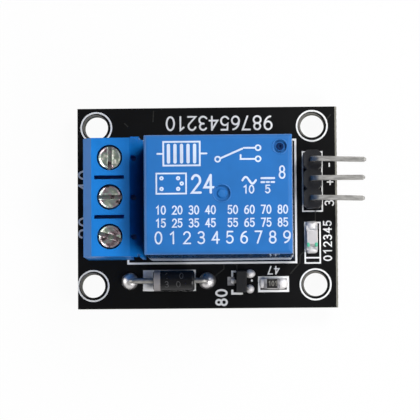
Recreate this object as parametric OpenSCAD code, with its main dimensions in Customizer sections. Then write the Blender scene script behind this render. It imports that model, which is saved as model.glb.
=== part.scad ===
// Single-channel relay module board: a sealed relay, a three-pole screw terminal block and a
// three-pin angled header on a black circuit board, with a diode, a transistor, a resistor and
// an indicator lamp. +X runs from the terminal block to the header, +Y across the board and +Z
// up off the board. Z = 0 is the plane of the cut pin tips, which the board stands on.

/* [Circuit board] */
// Thickness of the board
board_t = 1.6; // [1:0.1:2.2]
// Free strip of board west of the terminal block
west_margin = 1.45; // [0.6:0.05:4]
// Free strip of board east of the header
east_margin = 1.77; // [0.8:0.05:4]
// Free strip of board north of the terminal block
north_margin = 4.83; // [4.6:0.05:8]
// Distance from the south row of parts to the south edge
south_margin = 3.6; // [3:0.1:6]
// Diameter of the four mounting holes
mount_hole_d = 3.1; // [2.2:0.1:3.4]
// Inset of the two north holes from the north edge
north_hole_inset = 2.55; // [2.2:0.05:2.8]
// Inset of the two south holes from the south edge
south_hole_inset = 3.03; // [2.2:0.01:3.2]
// Inset of the north-west hole from the west edge
nw_hole_inset = 2.5; // [2.2:0.05:3.5]
// Inset of the south-west hole from the west edge
sw_hole_inset = 2.05; // [2:0.05:3.5]
// Inset of the north-east hole from the east edge
ne_hole_inset = 3; // [2.2:0.05:4]
// Inset of the south-east hole from the east edge
se_hole_inset = 2.7; // [2.2:0.05:3.5]
// Length of relay and terminal pins below the board
lead_proud = 1.9; // [1.7:0.1:3]
// Radial room round a pin in its drilled hole
drill_clear = 0.14; // [0.08:0.02:0.25]

/* [Relay] */
// Length of the relay case
relay_l = 19; // [18.6:0.2:22]
// Width of the relay case
relay_w = 15.4; // [15:0.2:18]
// Height of the relay case
relay_h = 15.3; // [15:0.1:18]
// Wall of the relay case
case_wall = 0.8; // [0.6:0.05:1]
// Corner radius of the relay case
case_corner_r = 0.6; // [0.3:0.1:0.9]
// Draft of each side of the case from rim to roof
case_draft = 0.12; // [0:0.02:0.2]
// Gap between the terminal block and the relay
relay_gap = 0.45; // [0.3:0.05:2]
// Depth of the sealing resin in the rim of the case
sealant_t = 0.7; // [0.4:0.1:0.9]
// Resin level above the rim of the case
sealant_z = 0.3; // [0.2:0.05:0.5]
// Thickness of the relay base plate
base_t = 1.2; // [0.9:0.1:1.4]
// Inset of the two contact pins from the case's west end
contact_pin_inset = 2.4; // [2.2:0.1:2.8]
// Inset of the common pin from the case's east end
common_pin_inset = 2.4; // [2.2:0.1:2.8]
// Inset of the two coil pins from the case's east end
coil_pin_inset = 4.4; // [4:0.1:5]
// Inset of the contact and coil pins from the case's long sides
side_pin_inset = 1.7; // [1.5:0.1:2]
// Side of the square coil pins
coil_pin = 0.6; // [0.5:0.05:0.8]
// Width of the flat contact pins
contact_pin_w = 1; // [0.7:0.1:1.2]
// Thickness of the contact strips and their pins
contact_strip_t = 0.4; // [0.3:0.05:0.5]
// Width of the two fixed contact strips
contact_strip_w = 2.2; // [1.8:0.1:2.6]
// Thickness of the yoke
yoke_t = 1.2; // [0.9:0.1:1.3]
// Width of the yoke
yoke_w = 8; // [6:0.5:9]
// Room left under the roof above the upper contact strip
roof_room = 0.386; // [0.2:0.002:1.5]
// Diameter of the coil core
core_d = 3.4; // [2.6:0.2:4]
// Diameter of the pole face
pole_d = 6; // [5:0.2:7]
// Thickness of the pole face
pole_t = 0.7; // [0.5:0.1:1]
// Outer diameter of the copper winding
winding_d = 7.8; // [6.4:0.2:8.2]
// Flange thickness of the bobbin
flange_t = 0.7; // [0.5:0.1:0.9]
// Wall of the bobbin tube
bobbin_wall = 0.65; // [0.4:0.05:0.8]
// Thickness of the armature
armature_t = 1; // [0.8:0.1:1.1]
// Width of the armature
armature_w = 7.6; // [6:0.2:8.6]
// Angle that the armature lifts when the coil is off
armature_lift = 3; // [1.5:0.25:3.25]
// Thickness of the contact spring
spring_t = 0.2; // [0.1:0.05:0.25]
// Width of the contact spring
spring_w = 4.4; // [3:0.2:5]
// Diameter of the contact heads
contact_d = 2.2; // [1.6:0.1:2.4]
// Thickness of the contact heads
contact_head_t = 0.5; // [0.3:0.05:0.55]
// Gap left between closed contacts and at the closed pole face
contact_clear = 0.05; // [0.03:0.01:0.08]

/* [Terminal block] */
// Pitch of the three poles
terminal_pitch = 5.08; // [5:0.01:6]
// Depth of the block, front to back
terminal_depth = 7.6; // [7.4:0.1:9]
// Height of the block
terminal_h = 10; // [9.6:0.1:12]
// Drop of the front bevel
front_bevel_h = 1.4; // [0.6:0.1:2]
// Run of the front bevel
front_bevel_l = 1.14; // [0.6:0.02:1.3]
// Run of the steep back slope
back_slope_l = 1.55; // [1:0.05:1.8]
// Drop of the steep back slope
back_slope_h = 3.6; // [2:0.1:3.7]
// Offset of the block's centre line from the relay's centre line
terminal_dy = 0.15; // [-0.4:0.05:0.4]
// Half of the wall between two poles
pole_wall = 0.49; // [0.4:0.01:0.7]
// Distance of the screws behind the front face
screw_back = 3.5; // [3.3:0.05:3.7]
// Diameter of the screw wells
well_d = 3.3; // [3.2:0.05:3.5]
// Diameter of the screw heads
screw_head_d = 3.05; // [2.6:0.05:3.1]
// Height of the screw heads
screw_head_h = 1.5; // [1.2:0.1:1.8]
// Width of the screwdriver slots
screw_slot_w = 0.5; // [0.3:0.05:0.8]
// Depth of the screwdriver slots
screw_slot_h = 0.7; // [0.4:0.1:0.9]
// Diameter over the screw threads
thread_d = 2.5; // [2:0.1:2.6]
// Radial running clearance of the screw thread
thread_clear = 0.05; // [0.03:0.01:0.08]
// Depth of the screw heads below the top face
screw_sunk = 0.35; // [0.1:0.05:0.8]
// Travel of the screws from rest to fully driven
screw_travel = 1.8; // [1.35:0.45:1.8]
// Wall of the clamp frames
frame_wall = 0.5; // [0.4:0.05:0.6]
// Floor of the clamp frames
frame_floor_t = 0.8; // [0.6:0.1:0.9]
// Threaded head of the clamp frames
frame_head_t = 1.2; // [0.9:0.1:1.3]
// Height of the clamp frames above the circuit board
frame_lift = 0.9; // [0.6:0.1:1.1]
// Outside height of the clamp frames
frame_h = 5.3; // [5:0.1:5.4]
// Depth of the clamp frames, front to back
frame_depth = 4.2; // [3.8:0.1:4.3]
// Thickness of the wire guard leaves
guard_t = 0.2; // [0.15:0.05:0.3]
// Clearance of a clamp frame in its cell
cell_clear = 0.08; // [0.05:0.01:0.12]
// Width of the wire entries at their throat
throat_w = 2.9; // [2.4:0.1:3]
// Flare of the wire entries on each side
throat_flare = 0.45; // [0.2:0.05:0.5]
// Width of the terminal pins
terminal_pin_w = 1; // [0.8:0.05:1.2]
// Thickness of the terminal pins
terminal_pin_t = 0.8; // [0.6:0.05:1]
// Width of the slots between the wells
top_slot_w = 0.5; // [0.3:0.05:0.7]
// Length of the slots between the wells
top_slot_l = 3.85; // [3:0.05:4.2]
// Depth of the slots between the wells
top_slot_h = 2.4; // [1:0.1:3]
// Diameter of the small moulding holes behind the wells
core_hole_d = 0.73; // [0.5:0.01:0.9]
// Depth of the joining rib on the north end
rib_proud = 0.3; // [0.2:0.05:0.4]
// Root width of the joining rib
rib_w = 0.8; // [0.6:0.05:1]

/* [Header] */
// Pitch of the three pins
header_pitch = 2.54; // [2.5:0.01:3]
// Width of the header body
header_w = 2.42; // [2.3:0.02:2.6]
// Height of the header body
header_h = 2.5; // [2:0.1:3]
// Corner bevel of each header cell
header_bevel = 0.45; // [0.2:0.05:0.6]
// Side of the square pins
header_pin = 0.64; // [0.5:0.02:0.7]
// Bend radius of the pins at their centre line
header_bend_r = 0.9; // [0.6:0.05:1.2]
// Rise of the pin centre line above the board
header_rise = 4; // [3.9:0.1:6]
// Reach of the longest pin beyond the east edge
header_reach = 4; // [2:0.1:8]
// Length of the header pins below the board
header_tail = 1.4; // [1.2:0.1:1.6]
// Gap between the relay and the header
header_gap = 1.31; // [0.6:0.01:3]
// Offset of the header's centre from the relay's centre line
header_dy = 2.85; // [2:0.05:3.4]

/* [Small parts] */
// Gap between the header body and the lamp's first joint
lamp_gap = 1.7; // [0.8:0.1:2]
// Offset of the lamp from the header's centre
lamp_dx = -0.15; // [-0.4:0.05:0.2]
// Length of the lamp
lamp_l = 3.2; // [2.8:0.1:3.4]
// Width of the lamp
lamp_w = 1.5; // [1.2:0.05:1.6]
// Thickness of the lamp's base plate
lamp_base_t = 0.45; // [0.3:0.05:0.6]
// Height of the lamp's lens above its base plate
lamp_lens_h = 0.7; // [0.4:0.05:1]
// Length of the lamp's metal ends
lamp_end_l = 0.55; // [0.4:0.05:0.7]
// Distance of the diode's west lead from the west edge
diode_west = 6.9; // [6.6:0.1:7.4]
// Distance between the diode's two leads
diode_span = 10.16; // [9.4:0.02:11]
// Length of the diode body
diode_l = 5.4; // [4.4:0.1:5.6]
// Diameter of the diode body
diode_d = 2.7; // [2:0.1:2.8]
// Shift of the diode body east of the middle of its leads
diode_shift = 0.75; // [0:0.05:0.9]
// Diameter of the diode leads
diode_lead_d = 0.72; // [0.5:0.02:0.8]
// Bend radius of the diode leads at their centre line
diode_bend_r = 0.7; // [0.5:0.05:0.8]
// Diameter of the solder domes on the diode leads
dome_d = 2.15; // [1.8:0.05:2.3]
// Height of the solder domes
dome_h = 1.15; // [0.8:0.05:1.2]
// Gap from the relay to the diode row's centre line
row_gap = 2.6; // [2.1:0.05:4]
// Distance from the diode's east lead to the transistor
transistor_dx = 4.54; // [4:0.02:5]
// Offset of the transistor from the diode's axis
transistor_dy = -0.15; // [-0.3:0.05:0.1]
// Length of the transistor body
transistor_l = 2.9; // [2.6:0.1:3]
// Width of the transistor body
transistor_w = 1.4; // [1.2:0.05:1.5]
// Height of the transistor body above its stand-off
transistor_h = 0.95; // [0.8:0.05:1.1]
// Spacing of the transistor's two east leads
transistor_pitch = 1.9; // [1.8:0.05:2]
// Width over the transistor's feet
transistor_span = 2.5; // [2.4:0.05:2.7]
// Width of a transistor lead
transistor_lead_w = 0.45; // [0.35:0.05:0.5]
// Distance from the transistor to the resistor
resistor_dx = 4; // [3.6:0.05:5]
// Offset of the resistor from the diode's axis
resistor_dy = -0.45; // [-0.6:0.05:0]
// Length of the resistor
resistor_l = 2.1; // [1.8:0.1:2.2]
// Width of the resistor
resistor_w = 1.25; // [1.1:0.05:1.4]
// Height of the resistor
resistor_h = 0.5; // [0.4:0.05:0.65]
// Length of the resistor's metal ends
resistor_end_l = 0.36; // [0.25:0.01:0.5]
// Thickness of the metal ends and of the glaze
film_t = 0.05; // [0.04:0.01:0.1]
// Length of the solder in front of a surface-mounted end
toe_l = 0.5; // [0.3:0.05:0.6]

/* [Hidden] */
$fn = 64;
cut = 0.5;

// Heights
board_z = lead_proud;
deck_z = board_z + board_t;

// Plan layout, measured from the south-west corner of the board
terminal_l = 3 * terminal_pitch;
terminal_x = west_margin;
relay_x = terminal_x + terminal_depth + relay_gap + relay_l / 2;
header_x = relay_x + relay_l / 2 + header_gap + header_w / 2;
board_l = header_x + header_w / 2 + east_margin;
south_most = min(-relay_w / 2, terminal_dy - terminal_l / 2);
north_most = max(relay_w / 2, terminal_dy + terminal_l / 2);
row_y = south_margin;
relay_y = row_y + row_gap - south_most;
terminal_y = relay_y + terminal_dy;
header_y = relay_y + header_dy;
board_w = relay_y + north_most + north_margin;
mount_holes = [
    [nw_hole_inset, board_w - north_hole_inset],
    [board_l - ne_hole_inset, board_w - north_hole_inset],
    [sw_hole_inset, south_hole_inset],
    [board_l - se_hole_inset, south_hole_inset]
];
origin_x = (board_l + header_reach) / 2;
origin_y = board_w / 2;

// Relay, measured from the centre of its footprint on the board
base_clear = 0.1;
pin_clear = 0.06;
core_clear = 0.05;
bobbin_gap = 0.3;
flange_rim = 0.45;
ear_rim = 0.4;
coil_pin_stub = 0.8;
foot_rim = 1.6;
pole_lap = 0.2;
contact_rim = 0.2;
strip_shift = 0.3;
strip_bevel = 0.2;
post_w = 1.4;
post_h = 3;
post_rim = 0.3;
vent_inset_x = 1.65;
vent_inset_y = 1.75;
vent_d = 1.66;
vent_sunk = 0.35;
vent_nib_d = 1.1;
vent_nib_h = 0.22;
vent_hole_d = 0.45;
gate_x = 0.5;
gate_y = 0.1;
gate_d = 2.07;
gate_sunk = 0.3;
sprue_d = 1.3;
spring_leg = 3.5;
spring_gap = 0.03;
rivet_d = 1.2;
contact_x = contact_pin_inset - relay_l / 2;
common_x = relay_l / 2 - common_pin_inset;
coil_pin_x = relay_l / 2 - coil_pin_inset;
pin_row = relay_w - 2 * side_pin_inset;
cell_l = relay_l - 2 * case_wall;
cell_w = relay_w - 2 * case_wall;
base_z = sealant_z + sealant_t;
yoke_z = base_z + base_t;
yoke_back = common_x + yoke_t / 2;
yoke_front = common_x - yoke_t / 2;
flange_d = winding_d + 2 * flange_rim;
coil_x = yoke_front - bobbin_gap - flange_d / 2;
bobbin_z = yoke_z + yoke_t;
strip_x = contact_x + strip_shift;
strip_reach = contact_d / 2 + contact_rim;
armature_front = coil_x - pole_d / 2 - pole_lap;
spring_front = strip_x - strip_reach;
arm_reach = yoke_back - strip_x;

// Heights over the yoke's top edge, which the armature turns on
armature_low = contact_clear;
spring_low = armature_low + armature_t;
moving_low = spring_low - contact_head_t;
moving_high = spring_low + spring_t + contact_head_t;
make_high = moving_low - contact_clear;
break_low = (arm_reach + contact_d / 2) * sin(armature_lift)
    + moving_high * cos(armature_lift) + contact_clear;
break_high = break_low + contact_head_t + contact_strip_t;
yoke_top = relay_h - case_wall - roof_room - break_high;
pole_top = yoke_top - contact_clear;

// Terminal block, measured from its front foot at the middle of its length
pole_y = [terminal_pitch, 0, -terminal_pitch];
screw_turn = [88, 0, -17];
cell_y = terminal_pitch - 2 * pole_wall;
frame_shift = 0.45;
guard_side = 0.1;
guard_low = 0.1;
guard_gap = 0.05;
guard_back = 0.3;
guard_lip = 0.2;
throat_room = 0.1;
flare_l = 1.1;
screw_bevel = 0.2;
slot_shift = 0.07;
rib_inset = 1;
rib_drop = 2;
groove_clear = 0.08;
core_hole_inset = 1.1;
core_hole_h = 2.8;
cell_x0 = screw_back - frame_depth / 2 + frame_shift - cell_clear;
cell_x1 = cell_x0 + frame_depth + 2 * cell_clear;
frame_x = cell_x0 + cell_clear;
frame_w = cell_y - 2 * cell_clear;
frame_top = frame_lift + frame_h;
screw_top = terminal_h - screw_sunk;
neck_z = screw_top - screw_head_h;
guard_z = frame_lift + frame_floor_t + guard_low + screw_travel;
guard_w = frame_w - 2 * frame_wall - 2 * guard_side;
tip_z = guard_z + guard_t + guard_gap;
throat_low = frame_lift + frame_floor_t;
throat_high = guard_z + guard_t + guard_lip + throat_room;
rib_x = terminal_depth - rib_inset;
rib_h = terminal_h - rib_drop;

// Header
pin_rows = [header_pitch, 0, -header_pitch];
pin_lean = [-1.7, 0, -1.5];
pin_short = [0, 0.16, 0.22];

// South row of small parts
diode_x = diode_west + diode_span / 2;
diode_axis = diode_d / 2;
transistor_x = diode_west + diode_span + transistor_dx;
transistor_y = row_y + transistor_dy;
resistor_x = transistor_x + resistor_dx;
resistor_y = row_y + resistor_dy;
lamp_y = header_y - 1.5 * header_pitch - lamp_gap - toe_l - lamp_l / 2;
lamp_x = header_x + lamp_dx;
stand_off = 0.05;

// Small mouldings
notch_r = lamp_w / 5;
lens_side = 0.05;
lens_draft_l = 0.2;
lens_draft_w = 0.08;
diode_tail = 1.5;
diode_bevel = 0.2;
die_t = 0.5;
transistor_draft = 0.1;
wing_t = 0.12;
wing_run = 0.22;
glaze_rim = 0.03;

// Solder
solder_h = 1.15;
pad_ring = 0.55;
fillet = 0.06;
foot_cap_d = 1.15;
foot_cap_h = 0.4;
foot_cap_x = transistor_span / 2 + 0.1;

module place(x, y, z) {
    translate([x - origin_x, y - origin_y, z])
        children();
}

// A rectangle with true round corners, centred
module round_rect(l, w, r) {
    square([l - 2 * r, w], center = true);
    square([l, w - 2 * r], center = true);
    for (sx = [-1, 1])
        for (sy = [-1, 1])
            translate([sx * (l / 2 - r), sy * (w / 2 - r)])
                circle(r = r, $fn = 32);
}

// A box from a low corner, centred on Y
module slab(x0, x1, w, z0, z1) {
    translate([x0, -w / 2, z0])
        cube([x1 - x0, w, z1 - z0]);
}

// A flat outline in X and Z, carried along Y and centred
module along_y(w) {
    translate([0, w / 2, 0])
        rotate([90, 0, 0])
            linear_extrude(w)
                children();
}

// Points of an arc
function arc(cx, cy, r, a0, a1, n = 6) =
    [for (i = [0:n]) let (a = a0 + (a1 - a0) * i / n) [cx + r * cos(a), cy + r * sin(a)]];

// ---------------------------------------------------------------- board

relay_flat_pins = [[contact_x, pin_row / 2], [contact_x, -pin_row / 2], [common_x, 0]];
relay_coil_pin_rows = [[coil_pin_x, pin_row / 2], [coil_pin_x, -pin_row / 2]];
contact_drill = norm([contact_pin_w, contact_strip_t]) / 2 + drill_clear;
coil_drill = coil_pin * sqrt(2) / 2 + drill_clear;
terminal_drill = norm([terminal_pin_w, terminal_pin_t]) / 2 + drill_clear;
header_drill = header_pin * sqrt(2) / 2 + drill_clear;
diode_drill = diode_lead_d / 2 + drill_clear;

module drill(x, y, r) {
    translate([x, y, -cut])
        cylinder(r = r, h = board_t + 2 * cut);
}

module circuit_board() {
    color([0.05, 0.05, 0.055])
        place(0, 0, board_z)
            difference() {
                cube([board_l, board_w, board_t]);
                for (p = mount_holes)
                    drill(p[0], p[1], mount_hole_d / 2);
                for (p = relay_flat_pins)
                    drill(relay_x + p[0], relay_y + p[1], contact_drill);
                for (p = relay_coil_pin_rows)
                    drill(relay_x + p[0], relay_y + p[1], coil_drill);
                for (y = pole_y)
                    drill(terminal_x + screw_back, terminal_y + y, terminal_drill);
                for (y = pin_rows)
                    drill(header_x, header_y + y, header_drill);
                for (x = [0, diode_span])
                    drill(diode_west + x, row_y, diode_drill);
            }
}

// ---------------------------------------------------------------- relay

module at_relay() {
    place(relay_x, relay_y, deck_z)
        children();
}

// A side outline of the case: drafted walls and a rounded roof edge
module case_side(l) {
    r = case_corner_r;
    top = l / 2 - case_draft;
    polygon(concat(
        [[-l / 2, 0], [l / 2, 0]],
        arc(top - r, relay_h - r, r, 0, 90),
        arc(-top + r, relay_h - r, r, 90, 180)
    ));
}

module relay_case() {
    color([0.14, 0.42, 0.72])
        at_relay()
            difference() {
                intersection() {
                    along_y(relay_w)
                        case_side(relay_l);
                    rotate([0, 0, 90])
                        along_y(relay_l)
                            case_side(relay_w);
                    linear_extrude(relay_h)
                        round_rect(relay_l, relay_w, case_corner_r);
                }
                translate([-cell_l / 2, -cell_w / 2, -cut])
                    cube([cell_l, cell_w, relay_h - case_wall + cut]);
                vent_mark();
                gate_mark();
            }
}

// Sunk ring with a flat nib and a blind hole in it
module vent_mark() {
    translate([relay_l / 2 - vent_inset_x, relay_w / 2 - vent_inset_y, relay_h]) {
        translate([0, 0, -vent_sunk])
            difference() {
                cylinder(d = vent_d, h = vent_sunk + cut);
                translate([0, 0, -cut])
                    cylinder(d = vent_nib_d, h = vent_nib_h + cut);
            }
        translate([0, 0, -vent_sunk - vent_nib_h])
            cylinder(d = vent_hole_d, h = vent_sunk + vent_nib_h + cut);
    }
}

// Sunk ring with the trimmed sprue in it
module gate_mark() {
    translate([gate_x, gate_y, relay_h - gate_sunk])
        difference() {
            cylinder(d = gate_d, h = gate_sunk + cut);
            cylinder(d1 = sprue_d, d2 = 0.7 * sprue_d, h = 2 * gate_sunk / 3);
        }
}

// Cuts every relay pin's own cross-section, grown by a clearance
module pin_cuts(grow) {
    for (p = relay_flat_pins)
        translate([p[0], p[1], -deck_z - cut])
            linear_extrude(deck_z + relay_h)
                flat_pin_outline(p[1] == 0 ? 90 : 0, grow);
    for (p = relay_coil_pin_rows)
        translate([p[0], p[1], -deck_z - cut])
            linear_extrude(deck_z + relay_h)
                square(coil_pin + 2 * grow, center = true);
}

module flat_pin_outline(turn, grow) {
    rotate(turn)
        square([contact_pin_w + 2 * grow, contact_strip_t + 2 * grow], center = true);
}

module relay_sealant() {
    color([0.1, 0.3, 0.55])
        at_relay()
            difference() {
                translate([-cell_l / 2, -cell_w / 2, sealant_z])
                    cube([cell_l, cell_w, sealant_t]);
                pin_cuts(0);
            }
}

// Base plate with a slotted post behind each fixed contact strip
module relay_base() {
    color([0.12, 0.12, 0.13])
        at_relay()
            difference() {
                union() {
                    slab(-cell_l / 2 + base_clear, cell_l / 2 - base_clear,
                        cell_w - 2 * base_clear, base_z, yoke_z);
                    for (sy = [-1, 1])
                        translate([strip_x, sy * pin_row / 2, 0])
                            slab(-contact_strip_w / 2 - post_rim, contact_strip_w / 2 + post_rim,
                                post_w, base_z, yoke_z + post_h);
                }
                pin_cuts(pin_clear);
                for (sy = [-1, 1])
                    translate([strip_x, sy * pin_row / 2, 0])
                        slab(-contact_strip_w, contact_strip_w, contact_strip_t + 2 * pin_clear,
                            yoke_z, yoke_z + post_h + cut);
            }
}

module relay_coil_pins() {
    color([0.75, 0.74, 0.7])
        at_relay()
            for (p = relay_coil_pin_rows)
                translate([p[0] - coil_pin / 2, p[1] - coil_pin / 2, -deck_z])
                    cube([coil_pin, coil_pin, deck_z + bobbin_z + flange_t + coil_pin_stub]);
}

module relay_common_pin() {
    color([0.78, 0.72, 0.62])
        at_relay()
            translate([common_x, 0, -deck_z])
                linear_extrude(deck_z + yoke_z)
                    flat_pin_outline(90, 0);
}

// A strip that rises from its pin and folds over towards the relay's middle
module fixed_strip(side, top) {
    low = top - contact_strip_t;
    translate([strip_x, 0, 0])
        difference() {
            union() {
                translate([-contact_strip_w / 2, 0, 0])
                    rotate([90, 0, 90])
                        linear_extrude(contact_strip_w)
                            polygon([
                                [side * (pin_row - contact_strip_t) / 2, yoke_z + pin_clear],
                                [side * (pin_row + contact_strip_t) / 2, yoke_z + pin_clear],
                                [side * (pin_row + contact_strip_t) / 2, top - strip_bevel],
                                [side * ((pin_row + contact_strip_t) / 2 - strip_bevel), top],
                                [-side * strip_reach, top],
                                [-side * strip_reach, low],
                                [side * (pin_row - contact_strip_t) / 2, low]
                            ]);
                translate([contact_x - strip_x, side * pin_row / 2, -deck_z])
                    linear_extrude(deck_z + yoke_z + post_h)
                        flat_pin_outline(0, 0);
            }
            translate([0, 0, low - cut])
                cylinder(d = rivet_d, h = contact_strip_t + 2 * cut, $fn = 32);
        }
}

module relay_make_strip() {
    color([0.8, 0.6, 0.35])
        at_relay()
            fixed_strip(1, yoke_top + make_high - contact_head_t);
}

module relay_break_strip() {
    color([0.8, 0.6, 0.35])
        at_relay()
            fixed_strip(-1, yoke_top + break_high);
}

module relay_make_contact() {
    color([0.88, 0.88, 0.86])
        at_relay()
            translate([strip_x, 0, yoke_top + make_high - contact_head_t]) {
                cylinder(d = contact_d, h = contact_head_t, $fn = 32);
                translate([0, 0, -contact_strip_t])
                    cylinder(d = rivet_d, h = contact_strip_t + contact_head_t, $fn = 32);
            }
}

module relay_break_contact() {
    color([0.88, 0.88, 0.86])
        at_relay()
            translate([strip_x, 0, yoke_top + break_low]) {
                cylinder(d = contact_d, h = contact_head_t, $fn = 32);
                cylinder(d = rivet_d, h = contact_head_t + contact_strip_t, $fn = 32);
            }
}

// L-shaped yoke: the foot lies on the base plate and carries the core
module relay_yoke() {
    color([0.6, 0.6, 0.6])
        at_relay()
            difference() {
                union() {
                    slab(coil_x - core_d / 2 - foot_rim, yoke_back, yoke_w, yoke_z, yoke_z + yoke_t);
                    slab(yoke_front, yoke_back, yoke_w, yoke_z, yoke_top);
                }
                translate([coil_x, 0, yoke_z - cut])
                    cylinder(d = core_d, h = yoke_t + 2 * cut);
            }
}

module relay_core() {
    color([0.7, 0.7, 0.7])
        at_relay()
            translate([coil_x, 0, 0]) {
                translate([0, 0, yoke_z])
                    cylinder(d = core_d, h = pole_top - yoke_z);
                translate([0, 0, pole_top - pole_t])
                    cylinder(d = pole_d, h = pole_t);
            }
}

module relay_bobbin() {
    top = pole_top - pole_t;
    color([0.85, 0.82, 0.72])
        at_relay()
            difference() {
                union() {
                    translate([coil_x, 0, bobbin_z])
                        cylinder(d = core_d + 2 * bobbin_wall, h = top - bobbin_z);
                    translate([coil_x, 0, top - flange_t])
                        cylinder(d = flange_d, h = flange_t);
                    slab(coil_x - flange_d / 2, yoke_front - bobbin_gap / 2,
                        pin_row + coil_pin + 2 * ear_rim, bobbin_z, bobbin_z + flange_t);
                }
                translate([coil_x, 0, bobbin_z - cut])
                    cylinder(d = core_d + 2 * core_clear, h = top);
                pin_cuts(0);
            }
}

module relay_winding() {
    color([0.75, 0.35, 0.15])
        at_relay()
            translate([coil_x, 0, bobbin_z + flange_t])
                difference() {
                    cylinder(d = winding_d, h = pole_top - pole_t - bobbin_z - 2 * flange_t);
                    translate([0, 0, -cut])
                        cylinder(d = core_d + 2 * bobbin_wall, h = yoke_top);
                }
}

// Turns what is drawn in the closed pose, from the yoke's back top edge, up to the released pose
module lifted() {
    at_relay()
        translate([yoke_back, 0, yoke_top])
            rotate([0, armature_lift, 0])
                children();
}

module relay_armature() {
    color([0.65, 0.65, 0.66])
        lifted()
            slab(armature_front - yoke_back, 0, armature_w, armature_low, spring_low);
}

// Leaf that lies on the armature and bends down behind the yoke. The leg stands upright at rest.
module relay_contact_spring() {
    low = spring_low;
    high = spring_low + spring_t;
    ci = cos(armature_lift);
    si = sin(armature_lift);
    front = spring_front - yoke_back;
    fold_x = high * si + spring_gap;
    color([0.82, 0.55, 0.3])
        difference() {
            at_relay()
                translate([yoke_back, 0, yoke_top])
                    along_y(spring_w)
                        polygon([
                            [front * ci + low * si, -front * si + low * ci],
                            [fold_x, low * ci],
                            [fold_x, -spring_leg],
                            [fold_x + spring_t, -spring_leg],
                            [fold_x + spring_t, low * ci - spring_t / 2],
                            [fold_x, high * ci],
                            [front * ci + high * si, -front * si + high * ci]
                        ]);
            lifted()
                translate([-arm_reach, 0, low - cut])
                    cylinder(d = rivet_d, h = spring_t + 2 * cut, $fn = 32);
        }
}

// Double-headed rivet in the tip of the contact spring
module relay_moving_contact() {
    color([0.9, 0.9, 0.88])
        lifted()
            translate([-arm_reach, 0, moving_low])
                rotate_extrude($fn = 32)
                    polygon([
                        [0, 0],
                        [contact_d / 2, 0],
                        [contact_d / 2, contact_head_t],
                        [rivet_d / 2, contact_head_t],
                        [rivet_d / 2, contact_head_t + spring_t],
                        [contact_d / 2, contact_head_t + spring_t],
                        [contact_d / 2, 2 * contact_head_t + spring_t],
                        [0, 2 * contact_head_t + spring_t]
                    ]);
}

// ---------------------------------------------------------------- terminal block

module at_terminal() {
    place(terminal_x, terminal_y, deck_z)
        children();
}

module at_pole(i) {
    at_terminal()
        translate([0, pole_y[i], 0])
            children();
}

// Side outline of the block: front bevel, flat top and a steep back
module block_side() {
    polygon([
        [0, 0],
        [terminal_depth, 0],
        [terminal_depth, terminal_h - back_slope_h],
        [terminal_depth - back_slope_l, terminal_h],
        [front_bevel_l, terminal_h],
        [0, terminal_h - front_bevel_h]
    ]);
}

// Flared wire entry: a four-sided funnel and a straight throat into the cell
module wire_entry() {
    slab(-cut, cell_x0 + cut, throat_w, throat_low, throat_high);
    intersection() {
        along_y(throat_w + 2 * throat_flare)
            polygon([
                [0, throat_low - throat_flare],
                [flare_l, throat_low],
                [flare_l, throat_high],
                [0, throat_high + throat_flare],
                [-cut, throat_high + throat_flare],
                [-cut, throat_low - throat_flare]
            ]);
        linear_extrude(terminal_h)
            polygon([
                [-cut, -throat_w / 2 - throat_flare],
                [0, -throat_w / 2 - throat_flare],
                [flare_l, -throat_w / 2],
                [flare_l, throat_w / 2],
                [0, throat_w / 2 + throat_flare],
                [-cut, throat_w / 2 + throat_flare]
            ]);
    }
}

// Dovetail of the joining rib and groove, proud along +Y
module dovetail(w, proud, h) {
    linear_extrude(h)
        polygon([
            [-w / 2, -cut],
            [w / 2, -cut],
            [w / 2 + proud / 2, proud],
            [-w / 2 - proud / 2, proud]
        ]);
}

module terminal_housing() {
    color([0.08, 0.42, 0.82])
        at_terminal() {
            difference() {
                along_y(terminal_l)
                    block_side();
                for (y = pole_y)
                    translate([0, y, 0]) {
                        slab(cell_x0, cell_x1, cell_y, -cut, frame_top);
                        wire_entry();
                        translate([screw_back, 0, frame_top - cut])
                            cylinder(d = well_d, h = terminal_h);
                        translate([terminal_depth - core_hole_inset, 0, terminal_h - core_hole_h])
                            cylinder(d = core_hole_d, h = core_hole_h + cut, $fn = 24);
                    }
                for (y = [terminal_pitch / 2, -terminal_pitch / 2])
                    translate([screw_back - slot_shift, y, terminal_h - top_slot_h])
                        slab(-top_slot_l / 2, top_slot_l / 2, top_slot_w, 0, top_slot_h + cut);
                translate([rib_x, -terminal_l / 2, -cut])
                    dovetail(rib_w + 2 * groove_clear, rib_proud + groove_clear, rib_h + cut);
            }
            translate([rib_x, terminal_l / 2, 0])
                dovetail(rib_w, rib_proud, rib_h);
        }
}

// Box frame with a threaded head, open to the front, and its solder pin
module clamp_frame(i) {
    color([0.78, 0.76, 0.7])
        at_pole(i)
            difference() {
                union() {
                    difference() {
                        slab(frame_x, frame_x + frame_depth, frame_w, frame_lift, frame_top);
                        slab(frame_x - cut, frame_x + frame_depth + cut, frame_w - 2 * frame_wall,
                            frame_lift + frame_floor_t, frame_top - frame_head_t);
                    }
                    slab(screw_back - terminal_pin_w / 2, screw_back + terminal_pin_w / 2,
                        terminal_pin_t, -deck_z, frame_lift + frame_floor_t);
                }
                translate([screw_back, 0, frame_top - frame_head_t - cut])
                    cylinder(d = thread_d + 2 * thread_clear, h = frame_head_t + 2 * cut);
            }
}

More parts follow.
